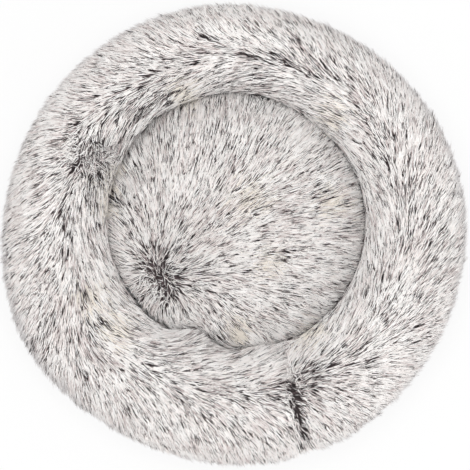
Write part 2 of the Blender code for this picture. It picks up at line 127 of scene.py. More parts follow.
# The base's quilting: between lines, how round and how deep it is, and its stitches.
QUILT_GAP = DOT_SPACING * math.sqrt(3) / 2
QUILT_ROUND = 0.0045
QUILT_SINK = 0.0016
STITCH_GAP = 0.0042
STITCH_SIZE = (STITCH_GAP * 0.36, 0.00035, 0.0003)

# The photograph's frame: places on the bed are noted as its pixels, from its top left corner.
PIXEL = 1.288 * MM
MIDDLE_PIXEL = 235.0
PICTURE_PIXELS = 470
CAMERA_HEIGHT = 3.2
LAMP_AIM = Vector((0, 0, 0.05))
LAMP_SIZE = 1.6

# Comb strokes on the ring: pixel across, pixel down, and the way that the tips point, in degrees
# anticlockwise from the picture's right.
RING_STROKES = (
    (240, 20, 100), (275, 25, 108), (310, 38, 115), (345, 58, 118), (385, 85, 105), (410, 110, 80),
    (430, 140, 60), (448, 180, 50), (455, 215, 48), (452, 250, 42), (450, 285, 25), (440, 320, 10),
    (425, 350, 0), (405, 385, -20), (375, 410, -35), (345, 430, -50), (315, 448, -62),
    (285, 452, -72), (245, 460, -88), (210, 455, -82), (252, 50, 140), (262, 50, 140),
    (290, 55, 130), (320, 70, 120), (332, 90, 127), (370, 120, 118), (392, 135, 104),
    (400, 160, 92), (415, 130, 60), (405, 190, 98), (425, 190, 62), (430, 205, 57), (400, 225, 95),
    (422, 257, 53), (407, 287, 50), (385, 310, 48), (392, 272, 68), (370, 335, 45),
    (355, 352, 30), (347, 335, 58), (330, 370, 20), (325, 385, -25), (355, 377, -8),
    (385, 362, 0), (302, 392, -55), (340, 415, -57), (370, 400, -35), (400, 385, -22),
    (250, 75, 222), (235, 85, 215), (272, 85, 205), (290, 75, 165), (310, 102, 162),
    (325, 105, 155), (340, 117, 168), (346, 128, 162), (355, 148, 148), (362, 165, 133),
    (370, 190, 118), (375, 218, 102), (377, 257, 90), (373, 295, 86), (352, 305, 92),
    (332, 332, 72), (317, 347, 60), (295, 362, 52), (272, 362, 48), (257, 364, 42),
    (244, 370, 25), (215, 75, 190), (200, 70, 180), (150, 65, 178), (115, 75, 175),
    (205, 30, 118), (170, 35, 130), (140, 45, 138), (110, 62, 150), (85, 90, 160), (60, 120, 175),
    (45, 150, 192), (30, 200, 205), (22, 240, 205), (25, 280, 210), (35, 320, 222),
    (48, 350, 236), (65, 378, 250), (45, 180, 215), (62, 165, 222), (155, 102, 205),
    (130, 115, 225), (112, 140, 245), (100, 175, 262), (94, 205, 270), (92, 240, 272),
    (95, 270, 282), (100, 300, 300), (115, 322, 330), (135, 342, 355), (160, 348, 15),
    (182, 350, 28), (205, 352, 30), (225, 358, 20), (105, 337, -20), (60, 265, 238),
    (52, 290, 238), (62, 305, 262), (70, 325, 275), (45, 335, 240), (82, 385, 266),
    (97, 400, 272), (112, 420, 278), (95, 365, 300), (120, 362, 313), (140, 380, 310),
    (157, 392, 310), (180, 400, 305), (165, 430, 292), (195, 437, 292), (210, 377, -5),
    (230, 385, -35), (225, 405, -45), (200, 362, 8), (257, 415, -50), (252, 387, -20),
    (244, 445, -72), (270, 425, -58), (130, 430, 282), (150, 447, 283), (268, 395, -32),
    (286, 380, 22), (276, 378, 15),
)
# Comb strokes on the cushion, in the same form.
CUSHION_STROKES = (
    (281, 142, 48), (310, 180, 27), (295, 117, 52), (265, 150, 52), (340, 165, 30), (345, 200, 12),
    (350, 240, -2), (345, 270, -12), (320, 310, -22), (292, 328, -28), (262, 330, -40),
    (235, 325, -45), (205, 308, -48), (185, 312, -65), (165, 305, -88), (146, 300, -115),
    (135, 278, 178), (122, 255, 158), (112, 228, 168), (112, 200, 160), (122, 178, 128),
    (130, 155, 110), (145, 135, 100), (150, 205, 98), (140, 230, 110), (170, 150, 88),
    (200, 140, 82), (230, 130, 80), (255, 118, 76), (190, 112, 86), (165, 120, 92), (235, 175, 60),
    (200, 185, 70), (170, 200, 84), (200, 220, 52), (180, 240, 62), (222, 222, 40),
    (250, 212, 22), (282, 222, 8), (312, 240, 0), (302, 272, -6), (270, 262, -3), (240, 258, 5),
    (215, 260, 14), (190, 260, 30), (230, 290, -14), (260, 300, -14), (290, 300, -15),
    (330, 140, 45), (240, 105, 82), (320, 285, -14),
)
# Places that the pile fans out from or curls round: pixel across, pixel down, reach in pixels,
# turn from straight outwards in degrees, and strength against the strokes.
CUSHION_WHORLS = (
    (153, 268, 26, 0, 2.2), (164, 284, 28, 0, 2.2), (124, 207, 8, 20, 1.5),
    (272, 257, 6, -30, 1.5),
)
RING_WHORLS = ((99, 156, 50, -75, 0.3), (295, 379, 18, 0, 0.0), (102, 166, 40, 0, 0.0))
COMB_REACH = 17.0
# How many places are combed at once, to spare memory.
COMB_BATCH = 20000
# The share of a whorl's reach in which the pile stands up, and how much.
WHORL_HEART = 0.27
HEART_LIFT = 0.5
HEART_SPIN = 12
HEART_PALER = 0.20
# How flat a lock is, how far it rolls its flat side up, and the share of it that is dark root with
# how much that share differs from lock to lock. The nest's wall changes each of them.
LOCK_FLATNESS = 0.2
ROLL = 0.3
WALL_ROLL = 1.6
WALL_LIFT = 0.45
ROOT_SHARE = 0.28
# On the nest's wall the dark roots show less: painted light against the shade that falls there.
WALL_PAINTED_LIGHT = 0.26
TUFT_SPREAD = 0.07
WALL_TUFT_SPREAD = 3.0
LOCK_SPREAD = 0.25
WALL_SPREAD = 1.0
# The least and the most of each factor by which tufts and locks differ, and how far they turn.
TUFT_LENGTHS = (0.82, 1.12)
TUFT_LIFTS = (0.7, 1.3)
TUFT_TURN = math.radians(13)
LOCK_LENGTHS = (0.80, 1.08)
LOCK_LIFTS = (0.8, 1.2)
LOCK_WIDTHS = (0.7, 1.35)
LOCK_TURN = math.radians(8)
# How much of the way to its tuft a lock's tip gathers, and the share of that for its middle.
GATHER = 0.45
GATHER_FACTORS = (0.8, 1.15)
KNEE_GATHER = 0.45
# How much of a lock's slack at a limit it shares with its tuft.
TUFT_SLACK = 0.75
ROOT_DEPTH = 0.8 * MM
LOWEST_LOCK = 1.2 * MM
# How far from the bed's middle the outer wall's grey tips begin, and over what distance outwards
# they come in: painted shade of the wall where it curves down, away from the lamps.
RIM_SHADE_START = 0.262
RIM_SHADE_FADE = 0.025
# How far from the nest seam the tips that press on it are as pale as the wall's: painted light
# against the shade beside the seam.
SEAM_LIGHT_REACH = 0.012
SEED = 11
# The ring's parting over its closing seam, from its inner end to its outer end, in pixels, and how
# much more of the dark roots shows beside it.
PARTING = ((284, 381), (299, 458))
PARTING_DARK = 0.34
# Where the ring's pile hangs over the nest seam, and where the cushion's crosses it: the pixel
# across and down on the seam, reach in pixels and how far in metres.
OVERHANGS = ((194, 348, 22, 0.023), (268, 350, 24, 0.006), (318, 124, 24, 0.004))
CROSSINGS = (
    (106, 220, 50, 0.009), (270, 350, 24, 0.009), (128, 150, 16, 0.004), (322, 128, 20, 0.005),
)
# Where the two piles meet outside the seam's circle, or inside it, in the same form.
SEAM_SHIFTS = (
    (366, 188, 36, 0.006), (366, 236, 30, 0.005), (360, 276, 30, 0.005), (338, 314, 28, 0.008),
    (306, 342, 22, 0.009), (236, 92, 34, 0.004), (158, 112, 28, 0.007), (126, 138, 20, 0.005),
)
# The rows of the tips' colours, and how many there are. The outer wall's grey row is painted
# shade.
TIP_ROW, WARM_ROW, RIM_SHADE_ROW, WHITE_ROW, MAUVE_ROW = range(5)
SHADES = 5

# Places where the dark roots show more, or less where the last number is negative: pixel across,
# pixel down, reach in pixels and amount. Along the nest seam, from (113, 158) round to (338, 134)
# and from (188, 326) to (225, 342), they are partly painted shade of the crease between the ring
# and the cushion, over roots that do show there.
ROOTS_AND_SHADE_SHOWN = (
    (158, 279, 9, 0.05), (160, 283, 27, 0.20), (175, 290, 12, 0.10), (172, 262, 12, 0.10),
    (125, 203, 8, 0.18), (272, 256, 5, 0.25), (264, 72, 26, 0.14), (248, 76, 14, 0.10),
    (92, 145, 9, 0.14), (80, 158, 9, 0.14), (102, 158, 15, 0.26), (58, 270, 14, 0.12),
    (113, 158, 9, 0.34), (104, 176, 9, 0.38), (98, 194, 9, 0.36), (96, 212, 8, 0.30),
    (96, 230, 8, 0.24), (98, 247, 8, 0.20), (126, 136, 8, 0.30), (140, 120, 9, 0.34),
    (152, 109, 9, 0.36), (166, 101, 9, 0.34), (182, 95, 8, 0.24), (220, 88, 9, 0.26),
    (262, 92, 12, 0.22), (300, 104, 10, 0.18), (325, 120, 10, 0.24), (338, 134, 8, 0.20),
    (100, 337, 6, 0.3),
    (133, 303, 6, 0.25), (175, 356, 8, 0.2), (325, 68, 16, 0.10), (362, 165, 12, 0.10),
    (405, 190, 14, 0.06), (440, 245, 16, 0.06), (188, 326, 5, 0.4), (200, 331, 5, 0.5),
    (213, 335, 5, 0.4), (242, 238, 40, -0.05), (300, 150, 30, -0.08),
    (285, 364, 4, 0.25), (284, 374, 4, 0.25), (318, 366, 5, 0.25), (316, 372, 4, 0.30),
    (332, 360, 6, 0.20), (289, 386, 5, 0.30), (297, 392, 5, 0.28), (295, 402, 4, 0.34),
    (298, 410, 4, 0.36), (291, 424, 5, 0.26), (291, 432, 4, 0.28), (304, 424, 4, 0.26),
    (307, 434, 4, 0.34), (310, 444, 4, 0.34), (225, 342, 4, 0.30),
)
# Warm patches, as pixel across, pixel down and reach in pixels.
WARM_PLACES = ((252, 200, 17), (272, 262, 12), (332, 118, 12), (95, 300, 14), (180, 95, 10),
               (335, 205, 14), (240, 330, 12), (120, 330, 14), (306, 336, 9), (318, 329, 7),
               (110, 192, 9), (108, 212, 8), (117, 172, 7), (190, 100, 9), (240, 338, 9))


def size_prop(name, description, default, low, high):
    """A length in metres for the sidebar, with its limits."""
    return bpy.props.FloatProperty(
        name=name, description=description, default=default, min=low, max=high, unit="LENGTH"
    )


def count_prop(name, description, default, high):
    """A number of locks for the sidebar."""
    return bpy.props.IntProperty(
        name=name, description=description, default=default, min=1000, max=high
    )


def colour_prop(name, description, *default):
    """A colour for the sidebar."""
    return bpy.props.FloatVectorProperty(
        name=name, description=description, default=default, subtype="COLOR", min=0.0, max=1.0
    )


class BedSizes(bpy.types.PropertyGroup):
    """Sizes of the pile and of the cloth under it."""

    backing_depth: size_prop(
        "Backing depth", "How far the plush's backing lies under the mean surface of the pile",
        0.0095, 0.002, 0.02,
    )
    pile_length: size_prop(
        "Pile length", "Length of a lock of pile from root to tip", 0.030, 0.005, 0.05
    )
    lock_width: size_prop(
        "Lock width", "Width of a lock of pile at its middle", 0.0011, 0.0004, 0.006
    )
    ring_locks: count_prop(
        "Locks on the ring", "Number of locks of pile on the ring", 160000, 260000
    )
    cushion_locks: count_prop(
        "Locks on the cushion", "Number of locks of pile on the cushion", 32000, 60000
    )
    tuft_spacing: size_prop(
        "Tuft spacing", "Mean distance between the tufts that the locks gather into",
        0.0042, 0.002, 0.02,
    )
    cover_swell: size_prop(
        "Cover swell", "How far the stuffing may push the sewn covers out", 0.004, 0.0, 0.01
    )


class BedColours(bpy.types.PropertyGroup):
    """Colours of the bed's cloths, pile and metal."""

    pile_root: colour_prop("Pile root", "Colour of the pile's dark foot", 0.030, 0.022, 0.023)
    pile_middle: colour_prop(
        "Pile middle", "Colour where the dark foot turns into the pale tip", 0.34, 0.265, 0.255
    )
    pile_tip: colour_prop("Pile tip", "Colour of the frosted tips", 0.98, 0.93, 0.905)
    pile_warm: colour_prop("Warm tip", "Colour of the tips in warmer patches", 0.93, 0.87, 0.79)
    # Painted shade: the outer wall's tips are painted grey where the wall turns away from the
    # lamps.
    pile_rim_shade: colour_prop("Grey tip", "Colour of the outer wall's tips", 0.76, 0.735, 0.73)
    pile_white: colour_prop("White tip", "Colour of the palest tips", 0.99, 0.97, 0.955)
    pile_mauve: colour_prop("Mauve tip", "Colour of the darkest tips", 0.60, 0.52, 0.51)
    fibre: colour_prop("Filling", "Colour of the loose fibre inside", 0.90, 0.90, 0.88)
    seam: colour_prop("Seam", "Colour of the plush's seam tape and thread", 0.085, 0.070, 0.070)
    lining: colour_prop("Lining", "Colour of the linings inside", 0.80, 0.80, 0.78)
    base_cloth: colour_prop("Base cloth", "Colour of the quilted base", 0.10, 0.10, 0.11)
    grip: colour_prop("Grip", "Colour of the base's rubber dots", 0.05, 0.05, 0.055)
    quilting: colour_prop("Quilting thread", "Colour of the base's thread", 0.21, 0.21, 0.22)
    binding: colour_prop("Binding", "Colour of the tape round the base", 0.24, 0.23, 0.24)
    zip_tape: colour_prop("Zip tape", "Colour of the zip's woven tapes", 0.20, 0.20, 0.21)
    zip_teeth: colour_prop("Zip teeth", "Colour of the zip's moulded teeth", 0.13, 0.13, 0.14)
    nickel: colour_prop("Nickel", "Colour of the slider, pull and stops", 0.68, 0.68, 0.70)


class Shade:
    """A shader socket in Python sums: each operator adds the Math node that it stands for."""

    def __init__(self, tree, socket=None):
        self.tree = tree
        self.socket = socket

    def node(self, kind, settings=None, inputs=None, output=0):
        """Adds any node: its settings first, then the values or links of its sockets."""
        made = self.tree.nodes.new("ShaderNode" + kind)
        for name, value in (settings or {}).items():
            if name == "stops":
                ramp = made.color_ramp
                while len(ramp.elements) < len(value):
                    ramp.elements.new(0.5)
                for stop, (place, colour) in zip(ramp.elements, value):
                    stop.position = place
                    stop.color = (*colour, 1.0)
            elif name == "interpolation":
                made.color_ramp.interpolation = value
            else:
                setattr(made, name, value)
        for name, value in (inputs or {}).items():
            if isinstance(value, Shade):
                self.tree.links.new(value.socket, made.inputs[name])
            else:
                made.inputs[name].default_value = value
        return Shade(self.tree, made.outputs[output] if made.outputs else None)

    def math(self, operation, *values):
        return self.node("Math", {"operation": operation}, dict(enumerate(values)))

    def place(self):
        """The place on the object itself."""
        return self.node("TexCoord", output=3)

    def noise(self, place, scale, detail, distortion=0.0):
        """Noise at a place, finer with a larger scale."""
        values = {"Vector": place, "Scale": scale, "Detail": detail, "Distortion": distortion}
        return self.node("TexNoise", {}, values)

    def bump(self, strength, distance, height):
        """A normal that a height has turned."""
        values = {"Strength": strength, "Distance": distance, "Height": height}
        return self.node("Bump", {}, values)

    def __add__(self, other):
        return self.math("ADD", self, other)

    __radd__ = __add__

    def __sub__(self, other):
        return self.math("SUBTRACT", self, other)

    def __rsub__(self, other):
        return self.math("SUBTRACT", other, self)

    def __mul__(self, other):
        return self.math("MULTIPLY", self, other)

    __rmul__ = __mul__

    def __truediv__(self, other):
        return self.math("DIVIDE", self, other)

    def __rtruediv__(self, other):
        return self.math("DIVIDE", other, self)


def new_material(name):
    """A material with an empty tree, and the start of its sums."""
    material = bpy.data.materials.new(name)
    material.use_nodes = True
    material.node_tree.nodes.clear()
    return material, Shade(material.node_tree)


def surface(start, **inputs):
    """The shader of a material and its output."""
    sockets = {name.replace("_", " "): value for name, value in inputs.items()}
    shader = start.node("BsdfPrincipled", inputs=sockets)
    start.node("OutputMaterial", inputs={"Surface": shader})


def mixed(start, factor, first, second):
    """One colour or the other by a factor."""
    colours = [value if isinstance(value, Shade) else (*value, 1.0) for value in (first, second)]
    return start.node(
        "Mix", {"data_type": "RGBA"}, {0: factor, 6: colours[0], 7: colours[1]}, output=2
    )


def scaled(colour, factor):
    """A colour made darker or paler by a factor."""
    return tuple(channel * factor for channel in colour)


def smooth_share(value):
    """0 to 1 with soft ends."""
    value = np.clip(value, 0.0, 1.0)
    return value * value * (3 - 2 * value)


def ellipse(centre, half_sizes, start, end, steps, fullness=1.0):
    """Points on an ellipse in the section plane. A fullness below 1 squares its shoulders."""

    def reach(value):
        return math.copysign(abs(value) ** fullness, value)

    return [
        (
            centre[0] + half_sizes[0] * reach(math.cos(angle)),
            centre[1] + half_sizes[1] * reach(math.sin(angle)),
        )
        for angle in np.linspace(start, end, steps + 1)
    ]


def ring_contour(depth, steps):
    """The ring's curve at a depth under its surface, from nest seam over crest to foot."""
    wall_half = (CREST_RADIUS - RING_INNER - depth, BED_HEIGHT - COVER_FOOT - depth)
    wall = ellipse((CREST_RADIUS, COVER_FOOT), wall_half, math.pi, math.pi / 2, steps)
    half = (BED_RADIUS - CREST_RADIUS - depth, BED_HEIGHT - WIDEST_HEIGHT - depth)
    shoulder = ellipse((CREST_RADIUS, WIDEST_HEIGHT), half, math.pi / 2, 0, steps)
    tuck_middle = (BED_RADIUS - TUCK_HALF_WIDTH - depth, WIDEST_HEIGHT)
    tuck = ellipse(tuck_middle, (TUCK_HALF_WIDTH, TUCK_HALF_HEIGHT), 0, -TUCK_TURN, steps)
    return wall + shoulder[1:] + tuck[1:]


def crown_contour(edge, rise, steps):
    """A crowned curve from the cushion's edge to the axis."""
    curve = ellipse((0, COVER_FOOT), (edge, rise), 0, math.pi / 2, steps, CROWN_FULLNESS)
    return curve[:-1] + [(0, COVER_FOOT + rise)]


def settled(points):
    """Places moved as the stuffing moves a round piece: off-centre nest, lobes, creased seam."""
    radius = np.hypot(points[:, 0], points[:, 1])
    angle = np.arctan2(points[:, 1], points[:, 0])
    height = points[:, 2].copy()
    raised = smooth_share((height - COVER_FOOT) / SETTLE_HEIGHT)
    on_ring = radius > NEST_RADIUS
    turn = np.remainder(angle - CLOSING_ANGLE + math.pi, math.tau) - math.pi
    pull = CREASE_SHARE * np.exp(-((turn * radius / CREASE_WIDTH) ** 2)) * raised * on_ring
    radius += (CREST_RADIUS - radius) * pull
    height += (CORE_HEIGHT - height) * pull
    swell = smooth_share((radius - CREST_RADIUS) / (BED_RADIUS - CREST_RADIUS))
    lobes = sum(share * np.cos(count * (angle - at)) for count, share, at in OUTLINE_LOBE_SHARES)
    lobes += BULGE_SHARE * np.exp(-(((angle - BULGE_PLACE) / BULGE_WIDTH) ** 2))
    radius *= 1 + lobes * swell * raised * on_ring
    dip = (1 - np.cos(CREST_DIPS * (angle - CREST_DIP_TURN))) / 2
    height -= CREST_DIP_SHARE * dip * raised * (height - COVER_FOOT) * on_ring
    shift = np.clip((FOOT_RADIUS - radius) / (FOOT_RADIUS - RING_INNER), 0.0, 1.0)
    x = radius * np.cos(angle) + shift * NEST_SHIFT[0]
    y = radius * np.sin(angle) + shift * NEST_SHIFT[1]
    away = np.hypot(x - HOLLOW_PLACE[0], y - HOLLOW_PLACE[1]) / HOLLOW_WIDTH
    crowned = np.maximum(height - COVER_FOOT, 0.0) / (CROWN_HEIGHT - COVER_FOOT)
    height -= HOLLOW_DEPTH * np.exp(-away * away) * crowned * ~on_ring
    return np.column_stack((x, y, height))


def add_object(name, bm, material, crease=50):
    """A piece from a bmesh, in the scene with its material, sharp past an angle in degrees."""
    mesh = bpy.data.meshes.new(name)
    bm.to_mesh(mesh)
    bm.free()
    mesh.materials.append(material)
    mesh.shade_smooth()
    mesh.set_sharp_from_angle(angle=math.radians(crease))
    piece = bpy.data.objects.new(name, mesh)
    bpy.context.scene.collection.objects.link(piece)
    return piece


def over_zip(points, gap):
    """Lifts places over the raised channel that the lining makes for the zip."""
    beside = (np.abs(points[:, 1]) - TAPE_OUTER_EDGE - gap) / CHANNEL_RAMP
    beyond = (np.abs(points[:, 0]) - TAPE_HALF_LENGTH - gap) / CHANNEL_RAMP
    inside = 1 - smooth_share(np.maximum(np.maximum(beside, beyond), 0.0))
    return inside * (CHANNEL_ROOF + gap - LINING_BOTTOM)


def spun(section, steps):
    """A closed section of radius and height, turned once round Z."""
    bm = bmesh.new()
    verts = [bm.verts.new((radius, 0, height)) for radius, height in section]
    edges = [bm.edges.new(pair) for pair in zip(verts, verts[1:] + verts[:1])]
    turn = {"cent": (0, 0, 0), "axis": (0, 0, 1), "angle": math.tau, "steps": steps}
    bmesh.ops.spin(bm, geom=verts + edges, use_merge=True, **turn)
    bmesh.ops.remove_doubles(bm, verts=bm.verts, dist=0.02 * MM)
    bmesh.ops.recalc_face_normals(bm, faces=bm.faces)
    return bm


def read_vectors(items, what):
    """One vector from each item of a mesh, as rows."""
    values = np.empty(len(items) * 3)
    items.foreach_get(what, values)
    return values.reshape(-1, 3)


def read_points(mesh):
    return read_vectors(mesh.vertices, "co")


def read_normals(mesh):
    return read_vectors(mesh.vertex_normals, "vector")


def write_points(mesh, points):
    mesh.vertices.foreach_set("co", np.asarray(points, dtype=np.float64).ravel())
    mesh.update()


def settle_mesh(piece):
    write_points(piece.data, settled(read_points(piece.data)))


def kept_result(piece):
    """Puts the result of a piece's modifiers in its mesh."""
    graph = bpy.context.evaluated_depsgraph_get()
    graph.update()
    old = piece.data
    piece.data = bpy.data.meshes.new_from_object(piece.evaluated_get(graph))
    piece.modifiers.clear()
    bpy.data.meshes.remove(old)


def lift_off_zip(piece):
    """Keeps a filled piece clear of the lining over the zip."""
    points = read_points(piece.data)
    lowest = LINING_TOP + CLEAR + over_zip(points, 2 * CLEAR)
    points[:, 2] = np.maximum(points[:, 2], lowest)
    write_points(piece.data, points)


def even_faces(piece, voxel):
    """Gives a closed piece faces of one size."""
    remesh = piece.modifiers.new("even_faces", "REMESH")
    remesh.mode = "VOXEL"
    remesh.voxel_size = voxel
    kept_result(piece)
    piece.data.shade_smooth()


def inflate(piece, voxel, cap):
    """Swells a closed cover as its filling does, each point by the cap at most."""
    even_faces(piece, voxel)
    lift_off_zip(piece)
    before = read_points(piece.data)
    cloth = piece.modifiers.new("filling", "CLOTH")
    cloth.settings.use_pressure = True
    cloth.settings.uniform_pressure_force = FILLING_PRESSURE
    cloth.settings.effector_weights.gravity = 0.0
    scene = bpy.context.scene
    for number in range(SWELL_FRAMES):
        scene.frame_set(number + 1)
    kept_result(piece)
    scene.frame_set(1)
    moved = read_points(piece.data) - before
    length = np.maximum(np.linalg.norm(moved, axis=1, keepdims=True), 1e-9)
    write_points(piece.data, before + moved * np.minimum(1.0, cap / length))
    lift_off_zip(piece)


def backing_material(colours):
    """The knitted backing of the plush, seen only between the locks."""
    material, start = new_material("plush_backing")
    knit = start.noise(start.place(), 900.0, 3.0)
    dark = tuple(colours.pile_root)
    base = mixed(start, knit, dark, scaled(dark, 6.0))
    surface(start, Base_Color=base, Roughness=0.9, Normal=start.bump(0.4, 0.0005, knit))
    return material


def ring_backing(sizes, colours):
    """The ring's sewn tube of plush backing."""
    depth = sizes.backing_depth + sizes.cover_swell / 2
    section = ring_contour(depth, 14)
    section += [
        (FOOT_RADIUS - depth - 0.02, FILLING_BOTTOM),
        (RING_INNER + depth + 0.01, FILLING_BOTTOM),
        (RING_INNER + depth, FILLING_BOTTOM + 0.008),
    ]
    piece = add_object("ring_backing", spun(section, 168), backing_material(colours))
    settle_mesh(piece)
    inflate(piece, RING_VOXEL, sizes.cover_swell)
    return piece


def cushion_backing(sizes, colours):
    """The cushion's sewn panel of plush backing, closed under its edge."""
    depth = sizes.backing_depth + sizes.cover_swell / 2
    section = crown_contour(CUSHION_EDGE - depth / 2, CROWN_HEIGHT - COVER_FOOT - depth, 20)
    section += [
        (0, FILLING_BOTTOM + 0.006),
        (CUSHION_EDGE - depth - 0.01, FILLING_BOTTOM + 0.006),
        (CUSHION_EDGE - depth / 2, FILLING_BOTTOM + 0.014),
    ]
    piece = add_object("cushion_backing", spun(section, 144), backing_material(colours))
    settle_mesh(piece)
    inflate(piece, CUSHION_VOXEL, sizes.cover_swell)
    return piece


def axes(start, vector):
    """The three numbers of a vector."""
    split = start.node("SeparateXYZ", inputs={0: vector}).socket.node
    return [Shade(start.tree, output) for output in split.outputs]


def ripple(start, length, pitch):
    """Ridges from 0 to 1 and back, once for each pitch along a length."""
    return start.math("ABSOLUTE", start.math("SINE", length * (math.pi / pitch)))


def plain_weave(start, across, along, pitch):
    """Height of threads that go over and under each other by turns."""
    cells = start.math("FLOOR", across / pitch) + start.math("FLOOR", along / pitch)
    over = start.math("ABSOLUTE", start.math("MODULO", cells, 2.0))
    return ripple(start, across, pitch) * over + ripple(start, along, pitch) * (1 - over)


def herringbone(start, across, along, pitch):
    """Height of slanting threads that turn back in each band."""
    band = start.math("PINGPONG", across, 5 * pitch)
    return ripple(start, along + band, pitch)


def ribbed(start, across, along, pitch):
    """Height of cross ribs, as on grosgrain tape."""
    return ripple(start, across, pitch) * 0.8 + ripple(start, along, pitch / 2) * 0.2


def cloth_material(name, colour, pattern, pitch, depth, roughness=0.85, round_z=0.0):
    """Woven cloth in one colour, worn a little paler in patches. With round_z, the pattern runs
    round the bed at that radius, and otherwise it lies flat."""
    material, start = new_material(name)
    place = start.place()
    x, y, z = axes(start, place)
    if round_z:
        x, y = start.math("ARCTAN2", y, x) * round_z, z + start.math("SQRT", x * x + y * y)
    height = pattern(start, x, y, pitch)
    worn = start.noise(place, 24.0, 4.0)
    fuzz = start.noise(place, 1500.0, 2.0)
    tone = height * 0.45 + worn * 0.35 + fuzz * 0.3
    pale = tuple(min(channel * 1.45 + 0.01, 1.0) for channel in colour)
    surface(
        start,
        Base_Color=mixed(start, tone, scaled(colour, 0.62), pale),
        Roughness=roughness,
        Specular_IOR_Level=0.3,
        Normal=start.bump(0.7, depth, height + fuzz * 0.25),
    )
    return material


def fibre_material(colours):
    """Loose fibre of the stuffing, painted darker in the hollows between its clumps as shade."""
    material, start = new_material("hollow_fibre")
    place = start.place()
    clumps = start.noise(place, 70.0, 6.0, 1.5)
    hairs = start.noise(place, 800.0, 4.0, 3.0)
    height = clumps * 0.7 + hairs * 0.3
    # Painted shade: the low parts of the clumps are darker.
    base = mixed(start, height, scaled(colours.fibre, 0.8), tuple(colours.fibre))
    surface(start, Base_Color=base, Roughness=0.95, Normal=start.bump(0.8, 0.002, height))
    return material


def smooth_material(name, colour, roughness, metallic=0.0, grain=(40.0, 400.0, 400.0)):
    """Moulded or plated stuff with a fine grain, duller and darker where it is handled."""
    material, start = new_material(name)
    place = start.place()
    drawn = start.node("Mapping", {}, {"Vector": place, "Scale": grain})
    scratches = start.noise(drawn, 12.0, 5.0)
    smears = start.noise(place, 160.0, 3.0)
    handled = smears * 0.8 + scratches * 0.2
    surface(
        start,
        Base_Color=mixed(start, handled, scaled(colour, 0.78), tuple(colour)),
        Roughness=scratches * 0.18 + smears * 0.14 + (roughness - 0.16),
        Metallic=metallic,
        Normal=start.bump(0.15, 0.0001, scratches),
    )
    return material


def loose_filling(name, section, steps, material):
    """Fibre pushed into a cover: a full form with soft lumps, inside the space that it has."""
    piece = add_object(name, spun(section, steps), material)
    settle_mesh(piece)
    even_faces(piece, FIBRE_VOXEL)
    points = read_points(piece.data)
    lumps = 0.5 + soft_noise(points, 0.034, 8) + 0.5 * soft_noise(points, 0.012, 9)
    normals = read_normals(piece.data)
    write_points(piece.data, points - normals * (LUMP_DEPTH * np.clip(lumps, 0, 1))[:, None])
    lift_off_zip(piece)
    return piece


def nest_seam_tape(material):
    """The taped ridge that joins the ring, the cushion and the lining between them."""
    side = [(WALL_OUTER, WALL_TOP + CLEAR), (WALL_OUTER, NEST_STITCH_HEIGHT - 0.0008)]
    side += [(WALL_OUTER - CLEAR, NEST_STITCH_HEIGHT), (WALL_OUTER, NEST_STITCH_HEIGHT + 0.0008)]
    middle = (WALL_INNER + WALL_OUTER) / 2
    half = (WALL_OUTER - WALL_INNER) / 2
    top = ellipse((middle, RIDGE_TOP - half), (half, half), 0, math.pi, 10)
    mirrored = [(2 * middle - radius, height) for radius, height in side[::-1]]
    piece = add_object("nest_seam_tape", spun(side + top + mirrored, 240), material)
    settle_mesh(piece)
    return piece


def extruded(bm, faces):
    """Extrudes faces, and gives the corners that this makes."""
    made = bmesh.ops.extrude_face_region(bm, geom=faces)
    return [item for item in made["geom"] if isinstance(item, bmesh.types.BMVert)]


def in_triangles(bm):
    """Splits the faces into triangles and turns them outwards."""
    bmesh.ops.triangulate(bm, faces=bm.faces[:])
    bmesh.ops.recalc_face_normals(bm, faces=bm.faces)


def turned(bm, angle, axis):
    """Turns a whole mesh about an axis through the origin."""
    matrix = Matrix.Rotation(angle, 3, axis)
    bmesh.ops.rotate(bm, cent=(0, 0, 0), matrix=matrix, verts=bm.verts)


def softened(bm, edges, offset, segments):
    """Rounds edges."""
    form = {"offset": offset, "segments": segments, "profile": 0.5}
    bmesh.ops.bevel(bm, geom=edges, affect="EDGES", material=-1, **form)


def cone(segments, low, high, depth):
    """A closed cone about the origin, from its lower radius to its upper one."""
    bm = bmesh.new()
    form = {"radius1": low, "radius2": high, "depth": depth}
    bmesh.ops.create_cone(bm, cap_ends=True, segments=segments, **form)
    return bm


def closing_seam_plies(material):
    """The two turned-in edges of the ring's plush, sewn face to face under the parting."""
    over = ring_contour(PILE_DEPTH + CLEAR, 8)[4:-4]
    under = ring_contour(PILE_DEPTH + CLEAR + ALLOWANCE_DEPTH, 8)[4:-4]
    bm = bmesh.new()
    for low, high in ((-PLY_OUTSIDE, -PLY_INSIDE), (PLY_INSIDE, PLY_OUTSIDE)):
        face = bm.faces.new([bm.verts.new((x, low, z)) for x, z in over + under[::-1]])
        bmesh.ops.translate(bm, vec=(0, high - low, 0), verts=extruded(bm, [face]))
    in_triangles(bm)
    turned(bm, CLOSING_ANGLE, "Z")
    piece = add_object("closing_seam_plies", bm, material)
    settle_mesh(piece)
    return piece


def wall_cloth(material):
    """The upright lining between the fillings, drawn into soft pleats by its top seam."""
    heights = np.linspace(FILLING_BOTTOM, WALL_TOP, 7)
    inner, outer = WALL_INNER + 2 * CLEAR, WALL_OUTER - 2 * CLEAR
    section = [(outer - CLEAR, z) for z in heights] + [(inner + CLEAR, z) for z in heights[::-1]]
    piece = add_object("lining_wall_cloth", spun(section, 320), material)
    points = read_points(piece.data)
    angle = np.arctan2(points[:, 1], points[:, 0])
    pleat = np.sin(angle * 53) * 0.7 + np.sin(angle * 31 + 1) * 0.3
    points[:, :2] *= 1 + (pleat * CLEAR * 2 / NEST_RADIUS)[:, None]
    write_points(piece.data, points)
    settle_mesh(piece)
    lift_off_zip(piece)
    return piece


